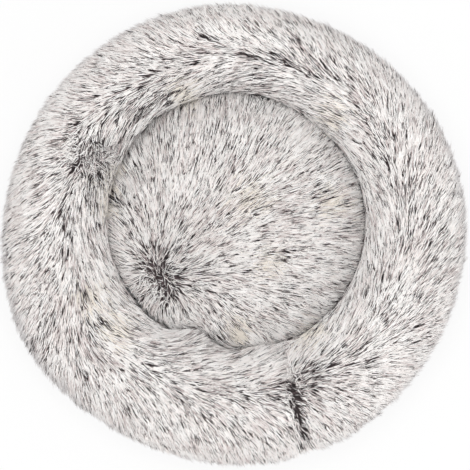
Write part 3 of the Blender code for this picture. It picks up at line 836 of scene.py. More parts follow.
def cut(bm, place, way, clear=False):
    """Cuts a mesh along a plane, and drops what lies past it where asked."""
    parts = bm.verts[:] + bm.edges[:] + bm.faces[:]
    bmesh.ops.bisect_plane(bm, geom=parts, plane_co=place, plane_no=way, clear_outer=clear)


def cut_flat(bm, place, way, clear=False):
    """Cuts a flat sheet along a line."""
    cut(bm, (*place, 0), (*way, 0), clear)


def thickened(bm, bottom, top):
    """A flat sheet made a closed pad between two heights, each worked out from places."""
    lower = bm.verts[:]
    upper = extruded(bm, bm.faces[:])
    for verts, height in ((lower, bottom), (upper, top)):
        places = np.array([vert.co[:] for vert in verts])
        for vert, z in zip(verts, height(places)):
            vert.co.z = z
    bmesh.ops.recalc_face_normals(bm, faces=bm.faces)


def floor_cloth(material):
    """The lining under both fillings, with its raised channel over the zip."""
    bm = bmesh.new()
    bmesh.ops.create_circle(bm, cap_ends=True, segments=180, radius=BASE_RADIUS - CLEAR)
    ramp = np.linspace(0, CHANNEL_RAMP, 5)
    for sign in (-1, 1):
        for step in ramp:
            cut_flat(bm, (sign * (TAPE_HALF_LENGTH + step), 0), (1, 0))
            cut_flat(bm, (0, sign * (TAPE_OUTER_EDGE + step)), (0, 1))
        for step in np.arange(0.04, 0.25, 0.04):
            cut_flat(bm, (sign * step, 0), (1, 0))
            cut_flat(bm, (0, sign * step), (0, 1))
    thickened(
        bm,
        lambda places: LINING_BOTTOM + over_zip(places, 0.0),
        lambda places: LINING_TOP + over_zip(places, 0.0),
    )
    return add_object("base_lining_cloth", bm, material, 40)


def quilt_depth(places):
    """How near each place on the base is to a sewn line or an edge, from 0 in a groove to 1."""
    places = np.column_stack((places[:, 0], np.abs(places[:, 1])))
    puffed = np.ones(len(places))
    for way, start in quilt_lines():
        turns = (places @ way - start) / QUILT_GAP
        away = np.abs(turns - np.rint(turns)) * QUILT_GAP
        puffed *= 1 - np.exp(-away / QUILT_ROUND)
    rim = BASE_RADIUS - np.hypot(places[:, 0], places[:, 1])
    slot = places[:, 1] - SLOT_HALF_WIDTH
    for away in (rim, slot):
        puffed *= 1 - np.exp(-np.maximum(away, 0) / QUILT_ROUND)
    return puffed


def quilt_lines():
    """The two families of sewn lines: the way across them, and where one of them is."""
    for side in (-1, 1):
        way = np.array((math.cos(math.pi / 6), side * math.sin(math.pi / 6)))
        yield way, way[1] * (SLOT_HALF_WIDTH + DOT_EDGE_MARGIN) + QUILT_GAP / 2


def panel_bottom(places):
    return PANEL_BOTTOM + QUILT_SINK * (1 - quilt_depth(places))


def panel_top(places):
    return PANEL_TOP - 0.3 * QUILT_SINK * (1 - quilt_depth(places))


def base_panel(name, side, material):
    """One quilted half of the padded base."""
    bm = bmesh.new()
    bmesh.ops.create_circle(bm, cap_ends=True, segments=200, radius=BASE_RADIUS - CLEAR)
    cut_flat(bm, (0, SLOT_HALF_WIDTH), (0, -1), clear=True)
    cut_flat(bm, (0, SLOT_HALF_WIDTH + 0.004), (0, 1))
    for way, start in quilt_lines():
        for number in range(-8, 9):
            for step in (-0.5, -0.28, -0.12, -0.035, 0, 0.035, 0.12, 0.28):
                at = start + (number + step) * QUILT_GAP
                if abs(at) < BASE_RADIUS:
                    cut_flat(bm, way * at, way)
    bmesh.ops.scale(bm, vec=(1, side, 1), verts=bm.verts)
    thickened(bm, panel_bottom, panel_top)
    return add_object(name, bm, material, 60)


def dot_places():
    """The grip dots of the back half, one in the middle of each quilted lozenge."""
    first_row = SLOT_HALF_WIDTH + DOT_EDGE_MARGIN
    limit = BASE_RADIUS - DOT_EDGE_MARGIN
    places = []
    for row in range(int((limit - first_row) / QUILT_GAP) + 1):
        for column in range(-6, 7):
            place = ((column + (row % 2) / 2) * DOT_SPACING, first_row + row * QUILT_GAP)
            if math.hypot(*place) <= limit:
                places.append(place)
    return np.array(places)


def shape_arrays(bm):
    """Corner places and triangles of a small shape to be repeated."""
    in_triangles(bm)
    bm.verts.index_update()
    coords = np.array([vert.co[:] for vert in bm.verts])
    faces = np.array([[vert.index for vert in face.verts] for face in bm.faces])
    bm.free()
    return coords, faces


def repeated(name, shape, centres, along, up, size, material):
    """One piece of a small closed shape repeated at places, each turned its own way."""
    coords, faces = shape
    along, up = np.broadcast_to(along, centres.shape), np.broadcast_to(up, centres.shape)
    turned = np.stack((along, np.cross(up, along), up), axis=1) * np.array(size)[None, :, None]
    points = centres[:, None] + np.einsum("vk,nkj->nvj", coords, turned)
    corners = faces[None] + (np.arange(len(centres)) * len(coords))[:, None, None]
    return mesh_from(name, points, corners, material)


def grip_dot():
    """A round rubber dot with a softened rim, its flat bottom on the floor."""
    bm = cone(20, DOT_RADIUS, DOT_RADIUS, DOT_HEIGHT)
    bmesh.ops.translate(bm, vec=(0, 0, DOT_HEIGHT / 2), verts=bm.verts)
    low = [edge for edge in bm.edges if max(vert.co.z for vert in edge.verts) < 1e-6]
    softened(bm, low, 0.0007, 2)
    return shape_arrays(bm)


def print_dot():
    """A small printed dot that stands a little proud of the cloth."""
    return shape_arrays(cone(7, 0.0007, 0.0011, 0.0007))


def stitch():
    """A bead of thread between two needle holes, 2 units long, wide and high."""
    bm = bmesh.new()
    bmesh.ops.create_uvsphere(bm, u_segments=5, v_segments=4, radius=1.0)
    turned(bm, math.pi / 2, "Y")
    return shape_arrays(bm)


def grips(name, side, material):
    """The grip dots of one half of the base, and the fine printed dots between them."""
    flip = np.array((1, side))
    dots = dot_places()
    made = repeated(
        f"{name}_dots", grip_dot(), np.column_stack((dots * flip, np.zeros(len(dots)))),
        (1, 0, 0), (0, 0, 1), (1, 1, 1), material,
    )
    step = DOT_SPACING / 5
    rows, columns = np.meshgrid(np.arange(1, 33), np.arange(-29, 30), indexing="ij")
    fine = np.stack(
        ((columns + (rows % 2) / 2) * step, SLOT_HALF_WIDTH + rows * step * 0.866), axis=-1
    ).reshape(-1, 2)
    away = np.linalg.norm(fine[:, None] - dots[None], axis=2).min(1)
    inside = np.hypot(*fine.T) < BASE_RADIUS - DOT_EDGE_MARGIN
    fine = fine[inside & (away > DOT_RADIUS + 0.002) & (quilt_depth(fine) > 0.55)] * flip
    heights = panel_bottom(fine)
    printed = repeated(
        f"{name}_print", print_dot(), np.column_stack((fine, heights)),
        (1, 0, 0), (0, 0, 1), (1, 1, 1), material,
    )
    return made, printed


def quilt_stitches(name, side, material):
    """The thread of the quilting's lines and of the hem along the slot."""
    centres, ways = [], []
    steps = np.arange(-BASE_RADIUS, BASE_RADIUS, STITCH_GAP)
    for way, start in quilt_lines():
        run = np.array((-way[1], way[0]))
        for number in range(-8, 9):
            at = way * (start + number * QUILT_GAP)
            centres.append(at + steps[:, None] * run)
            ways.append(np.broadcast_to(run, (len(steps), 2)))
    hem = np.column_stack((steps, np.full(len(steps), SLOT_HALF_WIDTH + 0.002)))
    centres.append(hem)
    ways.append(np.broadcast_to((1.0, 0.0), hem.shape))
    centres, ways = np.concatenate(centres), np.concatenate(ways)
    kept = np.hypot(*centres.T) < BASE_RADIUS - 0.009
    kept &= centres[:, 1] > SLOT_HALF_WIDTH + 0.0015
    flip = np.array((1, side))
    centres, ways = centres[kept] * flip, ways[kept] * flip
    heights = panel_bottom(centres) - 0.0001
    return repeated(
        f"{name}_stitches", stitch(), np.column_stack((centres, heights)),
        np.column_stack((ways, np.zeros(len(ways)))), (0, 0, 1), STITCH_SIZE, material,
    )


def ring_stitches(name, radius, height, up, shift, material):
    """A round row of stitches."""
    count = int(math.tau * radius / STITCH_GAP)
    turn = np.arange(count) * math.tau / count
    out = np.column_stack((np.cos(turn), np.sin(turn), np.zeros(count)))
    along = np.column_stack((-out[:, 1], out[:, 0], np.zeros(count)))
    centres = out * radius + np.array((shift[0], shift[1], height))
    up = out if up == "out" else np.broadcast_to(up, out.shape)
    return repeated(name, stitch(), centres, along, up, STITCH_SIZE, material)


def rim_binding_tape(material):
    """The binding round the base's seam: a bead outside and a flat turn under the panels."""
    bead = ellipse((0.2663, 0.0051), (0.0040, 0.0039), -math.pi / 2, math.pi / 2, 12)
    under = [(0.2600, BINDING_FOOT + 0.0001), (0.2550, 0.0016), (0.2540, 0.0020), (0.2550, 0.0025)]
    inside = [(0.2605, 0.0030), (0.2605, 0.0082)]
    section = bead + inside[::-1] + under[::-1]
    return add_object("rim_binding_tape", spun(section, 260), material)


def zip_end_tab(name, side, material):
    """The cloth that is folded and sewn over the tapes' ends."""
    bm = bmesh.new()
    bmesh.ops.create_cube(bm, size=1.0)
    half = (TAB_END - TAB_START) / 2
    size = (2 * half, 2 * (SLOT_HALF_WIDTH - CLEAR), LINING_BOTTOM - CLEAR - TAB_BOTTOM)
    bmesh.ops.scale(bm, vec=size, verts=bm.verts)
    softened(bm, bm.edges[:], 0.0004, 3)
    centre = (side * (TAB_START + half), 0, (LINING_BOTTOM - CLEAR + TAB_BOTTOM) / 2)
    bmesh.ops.translate(bm, vec=centre, verts=bm.verts)
    return add_object(name, bm, material, 40)


def tab_stitches(name, side, material):
    """Two rows of thread across an end tab."""
    across = np.arange(-SLOT_HALF_WIDTH + 0.002, SLOT_HALF_WIDTH - 0.001, 0.0026)
    rows = [TAB_START + 0.002, TAB_START + 0.005]
    centres = np.array([(side * x, y, TAB_BOTTOM) for x in rows for y in across])
    size = (0.0010, *STITCH_SIZE[1:])
    return repeated(name, stitch(), centres, (0, 1, 0), (0, 0, 1), size, material)


def zip_tape_cloth(name, side, material):
    """One woven tape with the cord along its inner edge that the teeth are moulded on."""
    middle = LINING_BOTTOM + TAPE_THICKNESS / 2
    half = TAPE_THICKNESS / 2
    profile = [
        (TAPE_INNER_EDGE - 0.0009, -0.6 * half), (TAPE_INNER_EDGE, -0.9 * half),
        (0.0080, -0.75 * half), (0.0084, -half), (0.0090, -half), (0.0094, -0.75 * half),
        (TAPE_OUTER_EDGE - 0.0003, -0.75 * half), (TAPE_OUTER_EDGE, -0.4 * half),
    ]
    loop = profile + [(y, -z) for y, z in profile[::-1]]
    bm = bmesh.new()
    verts = [bm.verts.new((-TAPE_HALF_LENGTH, side * y, middle + z)) for y, z in loop]
    risen = extruded(bm, [bm.faces.new(verts)])
    bmesh.ops.translate(bm, vec=(2 * TAPE_HALF_LENGTH, 0, 0), verts=risen)
    corner = TAPE_OUTER_EDGE - TAPE_CORNER
    for end in (-1, 1):
        cut_flat(bm, (end * TAPE_HALF_LENGTH, side * corner), (end, side), clear=True)
        bmesh.ops.holes_fill(bm, edges=[edge for edge in bm.edges if edge.is_boundary])
    in_triangles(bm)
    return add_object(name, bm, material, 30)


def scattered(piece, count, random):
    """Places spread evenly over a piece's faces, with the surface's normals there."""
    mesh = piece.data
    mesh.calc_loop_triangles()
    corners = np.empty(len(mesh.loop_triangles) * 3, dtype=np.int64)
    mesh.loop_triangles.foreach_get("vertices", corners)
    corners = corners.reshape(-1, 3)
    points = read_points(mesh)
    normals = read_normals(mesh)
    first, second, third = (points[corners[:, i]] for i in range(3))
    areas = np.linalg.norm(np.cross(second - first, third - first), axis=1)
    chosen = corners[random.choice(len(areas), size=count, p=areas / areas.sum())]
    share = random.random((count, 2))
    over = share.sum(1) > 1
    share[over] = 1 - share[over]
    weights = np.column_stack((1 - share.sum(1), share))[:, :, None]
    normal = (normals[chosen] * weights).sum(1)
    return (points[chosen] * weights).sum(1), unit(normal)


def unit(vectors):
    return vectors / np.maximum(np.linalg.norm(vectors, axis=1, keepdims=True), 1e-9)


def picture_places(points):
    """The photograph's pixels over places on the bed."""
    across = MIDDLE_PIXEL + points[:, 0] / PIXEL
    down = MIDDLE_PIXEL - points[:, 1] / PIXEL
    return np.column_stack((across, down))


def combed(points, normals, strokes, whorls, falls):
    """The way the pile lies at each place: the nearest strokes, the whorls and its weight."""
    table = np.array(strokes, dtype=float)
    ways = np.radians(table[:, 2])
    ways = np.column_stack((np.cos(ways), np.sin(ways)))
    places = picture_places(points)
    flat = np.empty((len(points), 2))
    for start in range(0, len(points), COMB_BATCH):
        part = slice(start, start + COMB_BATCH)
        distance = ((places[part, None, :] - table[None, :, :2]) ** 2).sum(2)
        nearest = distance.min(1, keepdims=True)
        weight = np.exp(-(distance - nearest) / (2 * COMB_REACH**2))
        flat[part] = (weight / weight.sum(1, keepdims=True)) @ ways
    for across, down, reach, turn, strength in whorls:
        out = places - (across, down)
        out[:, 1] *= -1
        distance = np.linalg.norm(out, axis=1)
        angle = np.arctan2(out[:, 1], out[:, 0]) + math.radians(turn)
        weight = strength * np.exp(-((distance / reach) ** 2))
        flat += np.column_stack((np.cos(angle), np.sin(angle))) * weight[:, None]
    flat = unit(flat)
    inward = (normals[:, :2] * (NEST_SHIFT - points[:, :2])).sum(1) > 0
    down = np.where(inward, *falls) * (1 - np.clip(normals[:, 2], 0.0, 1.0)) ** 2
    way = np.column_stack((flat, -down))
    way -= normals * (way * normals).sum(1, keepdims=True)
    return unit(way)


def place_sums(points, table):
    """Adds up soft round places of a table at each point."""
    places = picture_places(points)
    total = np.zeros(len(points))
    for row in table:
        distance = np.linalg.norm(places - row[:2], axis=1) / row[2]
        total += (row[3] if len(row) > 3 else 1.0) * np.exp(-distance * distance)
    return total


def soft_noise(points, size, seed):
    """Smooth noise about 0 at each point, with patches of a size."""
    offset = Vector((seed * 7.31, seed * 3.17, seed * 1.73))
    return np.array([noise.noise(Vector(point) / size + offset) for point in points])


def make_lock():
    """Arrays of the lock that the pile repeats, pointed at both ends: corner places and faces."""
    bm = cone(3, 1.0, 0.0, 0.5)
    bmesh.ops.translate(bm, vec=(0, 0, 0.75), verts=bm.verts)
    foot = [face for face in bm.faces if face.calc_center_median().z < 0.51]
    poked = bmesh.ops.poke(bm, faces=foot)
    bmesh.ops.translate(bm, vec=(0, 0, -0.5), verts=poked["verts"])
    bm.verts.index_update()
    along = np.array([vert.co.z for vert in bm.verts])
    across = np.array([vert.co.x for vert in bm.verts])
    up = np.array([vert.co.y for vert in bm.verts])
    faces = np.array([[vert.index for vert in face.verts] for face in bm.faces])
    bm.free()
    return along, across, up, faces


def pile_tones(points, walled, random):
    """How far up each tuft its dark root shows, from 0 to 1, by the place that its tips cover,
    with painted shade along the nest seam and painted light on the nest's wall.
    """
    reach = ROOT_SHARE + 0.16 * soft_noise(points, 0.03, 1)
    # Painted shade along the nest seam, stronger on the wall, and the wall's roots made paler as
    # painted light against its shade.
    reach += place_sums(points, ROOTS_AND_SHADE_SHOWN) * (1 + 0.8 * walled) - WALL_PAINTED_LIGHT * walled
    return reach + random.normal(0, TUFT_SPREAD, len(points)) * (1 + WALL_TUFT_SPREAD * walled)


def pile_shades(places, rim, nearest, random):
    """The row of the tip's colour for each lock."""
    warm = place_sums(places, WARM_PLACES)[nearest]
    pale = soft_noise(places, 0.02, 5)[nearest]
    draw = random.random((3, len(nearest)))
    row = np.where(draw[0] < 0.55 + 0.5 * pale, WHITE_ROW, TIP_ROW)
    row = np.where(draw[0] > 0.87 + 0.3 * pale, MAUVE_ROW, row)
    row = np.where(draw[1] < 0.75 * warm, WARM_ROW, row)
    # Grey tips on the outer wall: painted shade where it turns away from the lamps.
    return np.where(draw[2] < smooth_share((rim[nearest] - 0.3) / 0.6), RIM_SHADE_ROW, row)


def swung(ways, normals, angle):
    """Ways turned about the surface's normals."""
    side = np.cross(normals, ways)
    return ways * np.cos(angle)[:, None] + side * np.sin(angle)[:, None]


def grow_pile(backing, name, sizes, random, plan):
    """Covers a backing with locks of pile, in pieces by the way round that they stand."""
    count = plan["count"]
    roots, normals = scattered(backing, int(count * plan["spare"]), random)
    kept = np.flatnonzero(plan["keep"](roots, normals))[:count]
    roots, normals = roots[kept], normals[kept]
    way = combed(roots, normals, plan["strokes"], plan["whorls"], plan["falls"])

    tuft_count = int(plan["area"] / sizes.tuft_spacing**2)
    tufts = random.choice(len(roots), size=tuft_count, replace=False)
    tree = kdtree.KDTree(len(tufts))
    for index, tuft in enumerate(tufts):
        tree.insert(roots[tuft], index)
    tree.balance()
    nearest = np.array([tree.find(root)[1] for root in roots])

    middle = np.hypot(*(roots[:, :2].T))
    # How far into the outer wall's painted shade each root lies.
    rim = smooth_share((middle - RIM_SHADE_START) / RIM_SHADE_FADE)
    hearts = [(across, down, reach * WHORL_HEART) for across, down, reach, *_ in plan["whorls"]]
    stand = place_sums(roots, hearts)
    spin = random.normal(0, TUFT_TURN, len(tufts)) * (1 + HEART_SPIN * stand[tufts])
    tuft_way = swung(way[tufts], normals[tufts], spin)
    tuft_length = sizes.pile_length * random.uniform(*TUFT_LENGTHS, len(tufts))
    facing = -(normals[:, :2] * from_nest(roots)[0]).sum(1)
    walled = smooth_share(facing * 1.4) if plan["walled"] else np.zeros(len(roots))
    tuft_lift = plan["lift"] * random.uniform(*TUFT_LIFTS, len(tufts))
    tuft_lift += HEART_LIFT * stand[tufts] + WALL_LIFT * walled[tufts]

    own = random.normal(0, LOCK_TURN, len(roots)) * (1 + HEART_SPIN * stand)
    own_way = swung(way, normals, own)
    length = tuft_length[nearest] * random.uniform(*LOCK_LENGTHS, len(roots))
    lift = tuft_lift[nearest] * random.uniform(*LOCK_LIFTS, len(roots))

    def bent(start, along, normal, span, height):
        """The middle and tip of locks."""
        half = (span / 2)[:, None]
        knee = start + unit(along + normal * height[:, None]) * half
        return knee, knee + unit(along + normal * (plan["tip_lift"] * height)[:, None]) * half

    knee, tip = bent(roots, own_way, normals, length, lift)
    tuft_knee, tuft_tip = bent(roots[tufts], tuft_way, normals[tufts], tuft_length, tuft_lift)
    gather = GATHER * random.uniform(*GATHER_FACTORS, len(roots))[:, None]
    knee += (tuft_knee[nearest] - knee) * gather * KNEE_GATHER
    tip += (tuft_tip[nearest] - tip) * gather
    slack = random.random(len(tufts))[nearest] * TUFT_SLACK
    slack += random.random(len(roots)) * (1 - TUFT_SLACK)
    for points, share in ((knee, 0.5), (tip, 1.0)):
        plan["bound"](points, roots, share, slack)

    along, across, up, faces = make_lock()
    path = np.stack((roots - normals * ROOT_DEPTH, knee, tip), axis=1)
    first_way = unit(knee - roots)
    second_way = unit(tip - knee)
    ways = np.stack((first_way, unit(first_way + second_way), second_way), axis=1)
    level = np.rint(along * 2).astype(int)
    width = sizes.lock_width / 2 * random.uniform(*LOCK_WIDTHS, len(roots))
    rolled = unit(normals + (ROLL + WALL_ROLL * walled)[:, None] * (0, 0, 1))[:, None, :]
    upward = rolled - ways * (rolled * ways).sum(2, keepdims=True)
    upward /= np.maximum(np.linalg.norm(upward, axis=2, keepdims=True), 1e-9)
    sideways = np.cross(ways, upward)
    points = path[:, level]
    points = points + sideways[:, level] * (width[:, None] * across)[:, :, None]
    points = points + upward[:, level] * (width[:, None] * up * LOCK_FLATNESS)[:, :, None]
    points[:, :, 2] = np.maximum(points[:, :, 2], LOWEST_LOCK)

    tuft_cover = (knee[tufts] + tip[tufts]) / 2
    # Tips by the nest seam take the wall's painted light, against the shade there.
    seam_light = np.exp(-(((from_nest(tip)[1] - NEST_RADIUS) / SEAM_LIGHT_REACH) ** 2))
    walled = np.maximum(walled, seam_light)
    tone = pile_tones(tuft_cover, walled[tufts], random)[nearest] - HEART_PALER * stand
    tone += random.normal(0, LOCK_SPREAD, len(roots)) * (1 + WALL_SPREAD * walled)
    if plan["walled"]:
        beside, below = from_parting(roots)
        dark = PARTING_DARK * np.exp(-((beside / 7) ** 2)) * (beside > 0) * (below > -2)
        tone += dark * random.uniform(0.2, 1.4, len(roots))
    reach = np.clip(tone, 0.06, 0.94)
    value = (pile_shades(tuft_cover, rim[tufts], nearest, random) + reach) / SHADES

    uv_along = along[faces]
    uv_across = np.sign(across[faces]) * 0.010

    sector = np.floor((np.arctan2(roots[:, 1], roots[:, 0]) / math.tau + 0.5) * plan["pieces"])
    material = plan["material"]
    made = []
    for number in range(plan["pieces"]):
        here = np.flatnonzero(sector.astype(int) % plan["pieces"] == number)
        corners = faces[None] + (np.arange(len(here)) * len(along))[:, None, None]
        uvs = np.stack(
            (
                np.broadcast_to(uv_along, (len(here), *uv_along.shape)),
                uv_across[None] + value[here][:, None, None],
            ),
            axis=-1,
        )
        title = f"{name}_{number + 1:02d}"
        piece = mesh_from(title, points[here], corners, material)
        layer = piece.data.uv_layers.new(name="OFBake")
        layer.uv.foreach_set("vector", uvs.reshape(-1).astype(np.float32))
        smooth_ridges(piece.data, up > 1e-6)
        made.append(piece)
    return made


def smooth_ridges(mesh, on_ridge):
    """Keeps repeated locks smooth over their ridges, and sharp along their lower edges."""
    ends = np.empty(len(mesh.edges) * 2, dtype=np.int32)
    mesh.edges.foreach_get("vertices", ends)
    ridged = on_ridge[ends.reshape(-1, 2) % len(on_ridge)].any(1)
    sharp = mesh.attributes.new("sharp_edge", "BOOLEAN", "EDGE")
    sharp.data.foreach_set("value", ~ridged)


def mesh_from(name, points, corners, material):
    """A piece of many small closed shapes from whole arrays."""
    points = points.reshape(-1, 3)
    corners = corners.reshape(-1, 3)
    mesh = bpy.data.meshes.new(name)
    mesh.vertices.add(len(points))
    mesh.loops.add(corners.size)
    mesh.polygons.add(len(corners))
    mesh.vertices.foreach_set("co", points.ravel())
    mesh.loops.foreach_set("vertex_index", corners.ravel().astype(np.int32))
    mesh.polygons.foreach_set("loop_start", np.arange(0, corners.size, 3, dtype=np.int32))
    mesh.materials.append(material)
    mesh.update(calc_edges=True)
    mesh.shade_smooth()
    piece = bpy.data.objects.new(name, mesh)
    bpy.context.scene.collection.objects.link(piece)
    return piece


def pile_material(colours):
    """Frosted pile: dark roots, a soft change and pale tips, from the lock's own map."""
    material, start = new_material("frosted_pile")
    place = start.node("UVMap", {"uv_map": "OFBake"})
    along = start.node("SeparateXYZ", inputs={0: place}, output=0)
    tone = start.node("SeparateXYZ", inputs={0: place}, output=1) * SHADES
    row = start.math("FLOOR", tone)
    reach = tone - row
    edge = reach * 0.85 + 0.12
    paleness = start.node(
        "MapRange",
        {"interpolation_type": "SMOOTHSTEP"},
        {"Value": along - edge, "From Min": -0.01, "From Max": 0.12},
    )
    tints = {
        TIP_ROW: colours.pile_tip,
        WARM_ROW: colours.pile_warm,
        RIM_SHADE_ROW: colours.pile_rim_shade,
        WHITE_ROW: colours.pile_white,
        MAUVE_ROW: colours.pile_mauve,
    }
    stops = [(number / SHADES, tuple(tints[number])) for number in range(SHADES)]
    tip = start.node(
        "ValToRGB", {"stops": stops, "interpolation": "CONSTANT"}, {0: (row + 0.5) / SHADES}
    )
    lower = mixed(start, paleness * 2.2, tuple(colours.pile_root), tuple(colours.pile_middle))
    colour = mixed(start, paleness * 1.8 - 0.8, lower, tip)
    surface(
        start,
        Base_Color=colour,
        Roughness=0.72,
        Specular_IOR_Level=0.3,
        Sheen_Weight=0.2,
        Sheen_Roughness=0.5,
    )
    return material


class CATBED_OT_backings(bpy.types.Operator):
    """Make the sewn backings of the ring's and the cushion's plush"""

    bl_idname = "catbed.backings"
    bl_label = "Plush Backings"

    def execute(self, context):
        sizes = context.scene.catbed_sizes
        colours = context.scene.catbed_colours
        ring = ring_backing(sizes, colours)
        cushion = cushion_backing(sizes, colours)
        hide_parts("bolster_cover")
        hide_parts("cushion_cover")
        for piece in (ring, cushion):
            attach(piece, "bed")
        return {"FINISHED"}


def placed(piece, slot, *nodes, body="bed"):
    """Lets a finished piece ride, and hides the nodes that it stands for. The name of its finish
    is not used.
    """
    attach(piece, body)
    if nodes:
        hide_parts(*nodes)
    return piece


class CATBED_OT_fillings(bpy.types.Operator):
    """Fill the ring and the cushion with loose fibre"""

    bl_idname = "catbed.fillings"
    bl_label = "Fillings"

    def execute(self, context):
        material = fibre_material(context.scene.catbed_colours)
        inner = RING_INNER + CLEAR
        ring = ring_contour(PILE_DEPTH + CLEAR, 12) + [
            (inner, FILLING_BOTTOM),
            (inner, COVER_FOOT - CLEAR),
        ]
        edge = CUSHION_EDGE - PILE_DEPTH - CLEAR
        crown = crown_contour(edge, CROWN_HEIGHT - COVER_FOOT - PILE_DEPTH - CLEAR, 14)
        cushion = crown + [
            (0, FILLING_BOTTOM),
            (CUSHION_EDGE - CLEAR, FILLING_BOTTOM),
            (CUSHION_EDGE - CLEAR, COVER_FOOT - CLEAR),
        ]
        ring_fibre = loose_filling("ring_fibre", ring, 200, material)
        cushion_fibre = loose_filling("cushion_fibre", cushion, 160, material)
        placed(ring_fibre, "filling", "bolster_filling")
        placed(cushion_fibre, "filling", "cushion_filling")
        return {"FINISHED"}


class CATBED_OT_seams(bpy.types.Operator):
    """Make the nest seam, the closing seam and the linings"""

    bl_idname = "catbed.seams"
    bl_label = "Seams and Linings"

    def execute(self, context):
        colours = context.scene.catbed_colours
        tape = cloth_material(
            "seam_tape", colours.seam, herringbone, 0.0008, 0.0002, round_z=NEST_RADIUS
        )
        plies = cloth_material("plush_edge", colours.seam, plain_weave, 0.0009, 0.0002)
        lining = cloth_material("lining_cloth", colours.lining, plain_weave, 0.0008, 0.0001)
        upright = cloth_material(
            "upright_lining", colours.lining, plain_weave, 0.0008, 0.0001, round_z=NEST_RADIUS
        )
        thread = cloth_material("seam_thread", colours.seam, ribbed, 0.0004, 0.0001)
        placed(nest_seam_tape(tape), "seam", "nest_seam")
        radius, height = WALL_OUTER - CLEAR, NEST_STITCH_HEIGHT
        sewn = ring_stitches("nest_seam_stitches", radius, height, "out", NEST_SHIFT, thread)
        placed(sewn, "seam")
        placed(closing_seam_plies(plies), "seam", "closing_seam")
        placed(wall_cloth(upright), "lining", "lining_wall")
        placed(floor_cloth(lining), "lining", "base_lining")
        return {"FINISHED"}


class CATBED_OT_base(bpy.types.Operator):
    """Make the quilted base panels, their grip dots and stitches, and the binding round them"""

    bl_idname = "catbed.base"
    bl_label = "Base"

    def execute(self, context):
        colours = context.scene.catbed_colours
        oxford = cloth_material(
            "oxford_cloth", colours.base_cloth, plain_weave, 0.0009, 0.0002, 0.7
        )
        rubber = smooth_material("grip_rubber", colours.grip, 0.6, grain=(300.0, 300.0, 300.0))
        thread = cloth_material("quilting_thread", colours.quilting, ribbed, 0.0005, 0.0001)
        tape = cloth_material(
            "grosgrain", colours.binding, ribbed, 0.0013, 0.0003, round_z=BASE_RADIUS
        )
        for name, side in (("base_panel_front", -1), ("base_panel_back", 1)):
            placed(base_panel(f"{name}_quilted", side, oxford), "base_cloth", name)
            for piece in grips(name, side, rubber):
                placed(piece, "base_cloth")
            placed(quilt_stitches(name, side, thread), "base_cloth")
        placed(rim_binding_tape(tape), "binding", "rim_binding")
        sewn = ring_stitches("rim_binding_stitches", 0.2575, 0.00140, (0, 0, 1), (0, 0), thread)
        placed(sewn, "binding")
        return {"FINISHED"}


class CATBED_OT_zip(bpy.types.Operator):
    """Make the zip's woven tapes, and finish its teeth, stops, slider and pull"""

    bl_idname = "catbed.zip"
    bl_label = "Zip"

    def execute(self, context):
        colours = context.scene.catbed_colours
        woven = cloth_material("zip_weave", colours.zip_tape, herringbone, 0.0007, 0.00015)
        for name, side in (("zip_tape_front", -1), ("zip_tape_back", 1)):
            placed(zip_tape_cloth(f"{name}_woven", side, woven), "zip_tape", name)
        folded = cloth_material("tab_cloth", colours.base_cloth, plain_weave, 0.0007, 0.00015)
        thread = cloth_material("zip_thread", colours.quilting, ribbed, 0.0005, 0.0001)
        for end, side in (("left", -1), ("right", 1)):
            placed(zip_end_tab(f"zip_tab_{end}", side, folded), "base_cloth")
            placed(tab_stitches(f"zip_tab_{end}_stitches", side, thread), "base_cloth")
        moulded = smooth_material("moulded_teeth", colours.zip_teeth, 0.42)
        nickel = smooth_material("plated_nickel", colours.nickel, 0.32, 1.0)
        finishes = {"zip_teeth": moulded, "zip_": nickel}
        for name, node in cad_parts.items():
            start = next((start for start in finishes if name.startswith(start)), None)
            if start and not name.startswith("zip_tape"):
                for place in node.material_slots:
                    place.material = finishes[start]
        return {"FINISHED"}


def ring_is_plush(points, normals):
    """Everywhere on the ring but under it and below the nest seam."""
    middle = np.hypot(points[:, 0] - NEST_SHIFT[0], points[:, 1] - NEST_SHIFT[1])
    inside = (middle < 0.2) & (points[:, 2] < COVER_FOOT + 0.002)
    under = (points[:, 2] < 0.013) | (normals[:, 2] < -0.9)
    beside, below = from_parting(points)
    parted = (np.abs(beside) < 0.4) & (below > 0)
    return ~inside & ~under & ~parted


def cushion_is_plush(points, normals):
    return (points[:, 2] > COVER_FOOT - 0.004) & (normals[:, 2] > 0.05)


def from_parting(points):
    """Pixels from the ring's parting, positive to its right, and along it from its inner end."""
    (left, top), (right, low) = PARTING
    length = math.hypot(right - left, low - top)
    across, down = (right - left) / length, (low - top) / length
    out = picture_places(points) - PARTING[0]
    return out[:, 0] * down - out[:, 1] * across, out[:, 0] * across + out[:, 1] * down


def from_nest(points):
    """The way outwards from the nest's middle, and the distance."""
    out = points[:, :2] - NEST_SHIFT
    radius = np.linalg.norm(out, axis=1)
    return out / np.maximum(radius, 1e-9)[:, None], radius


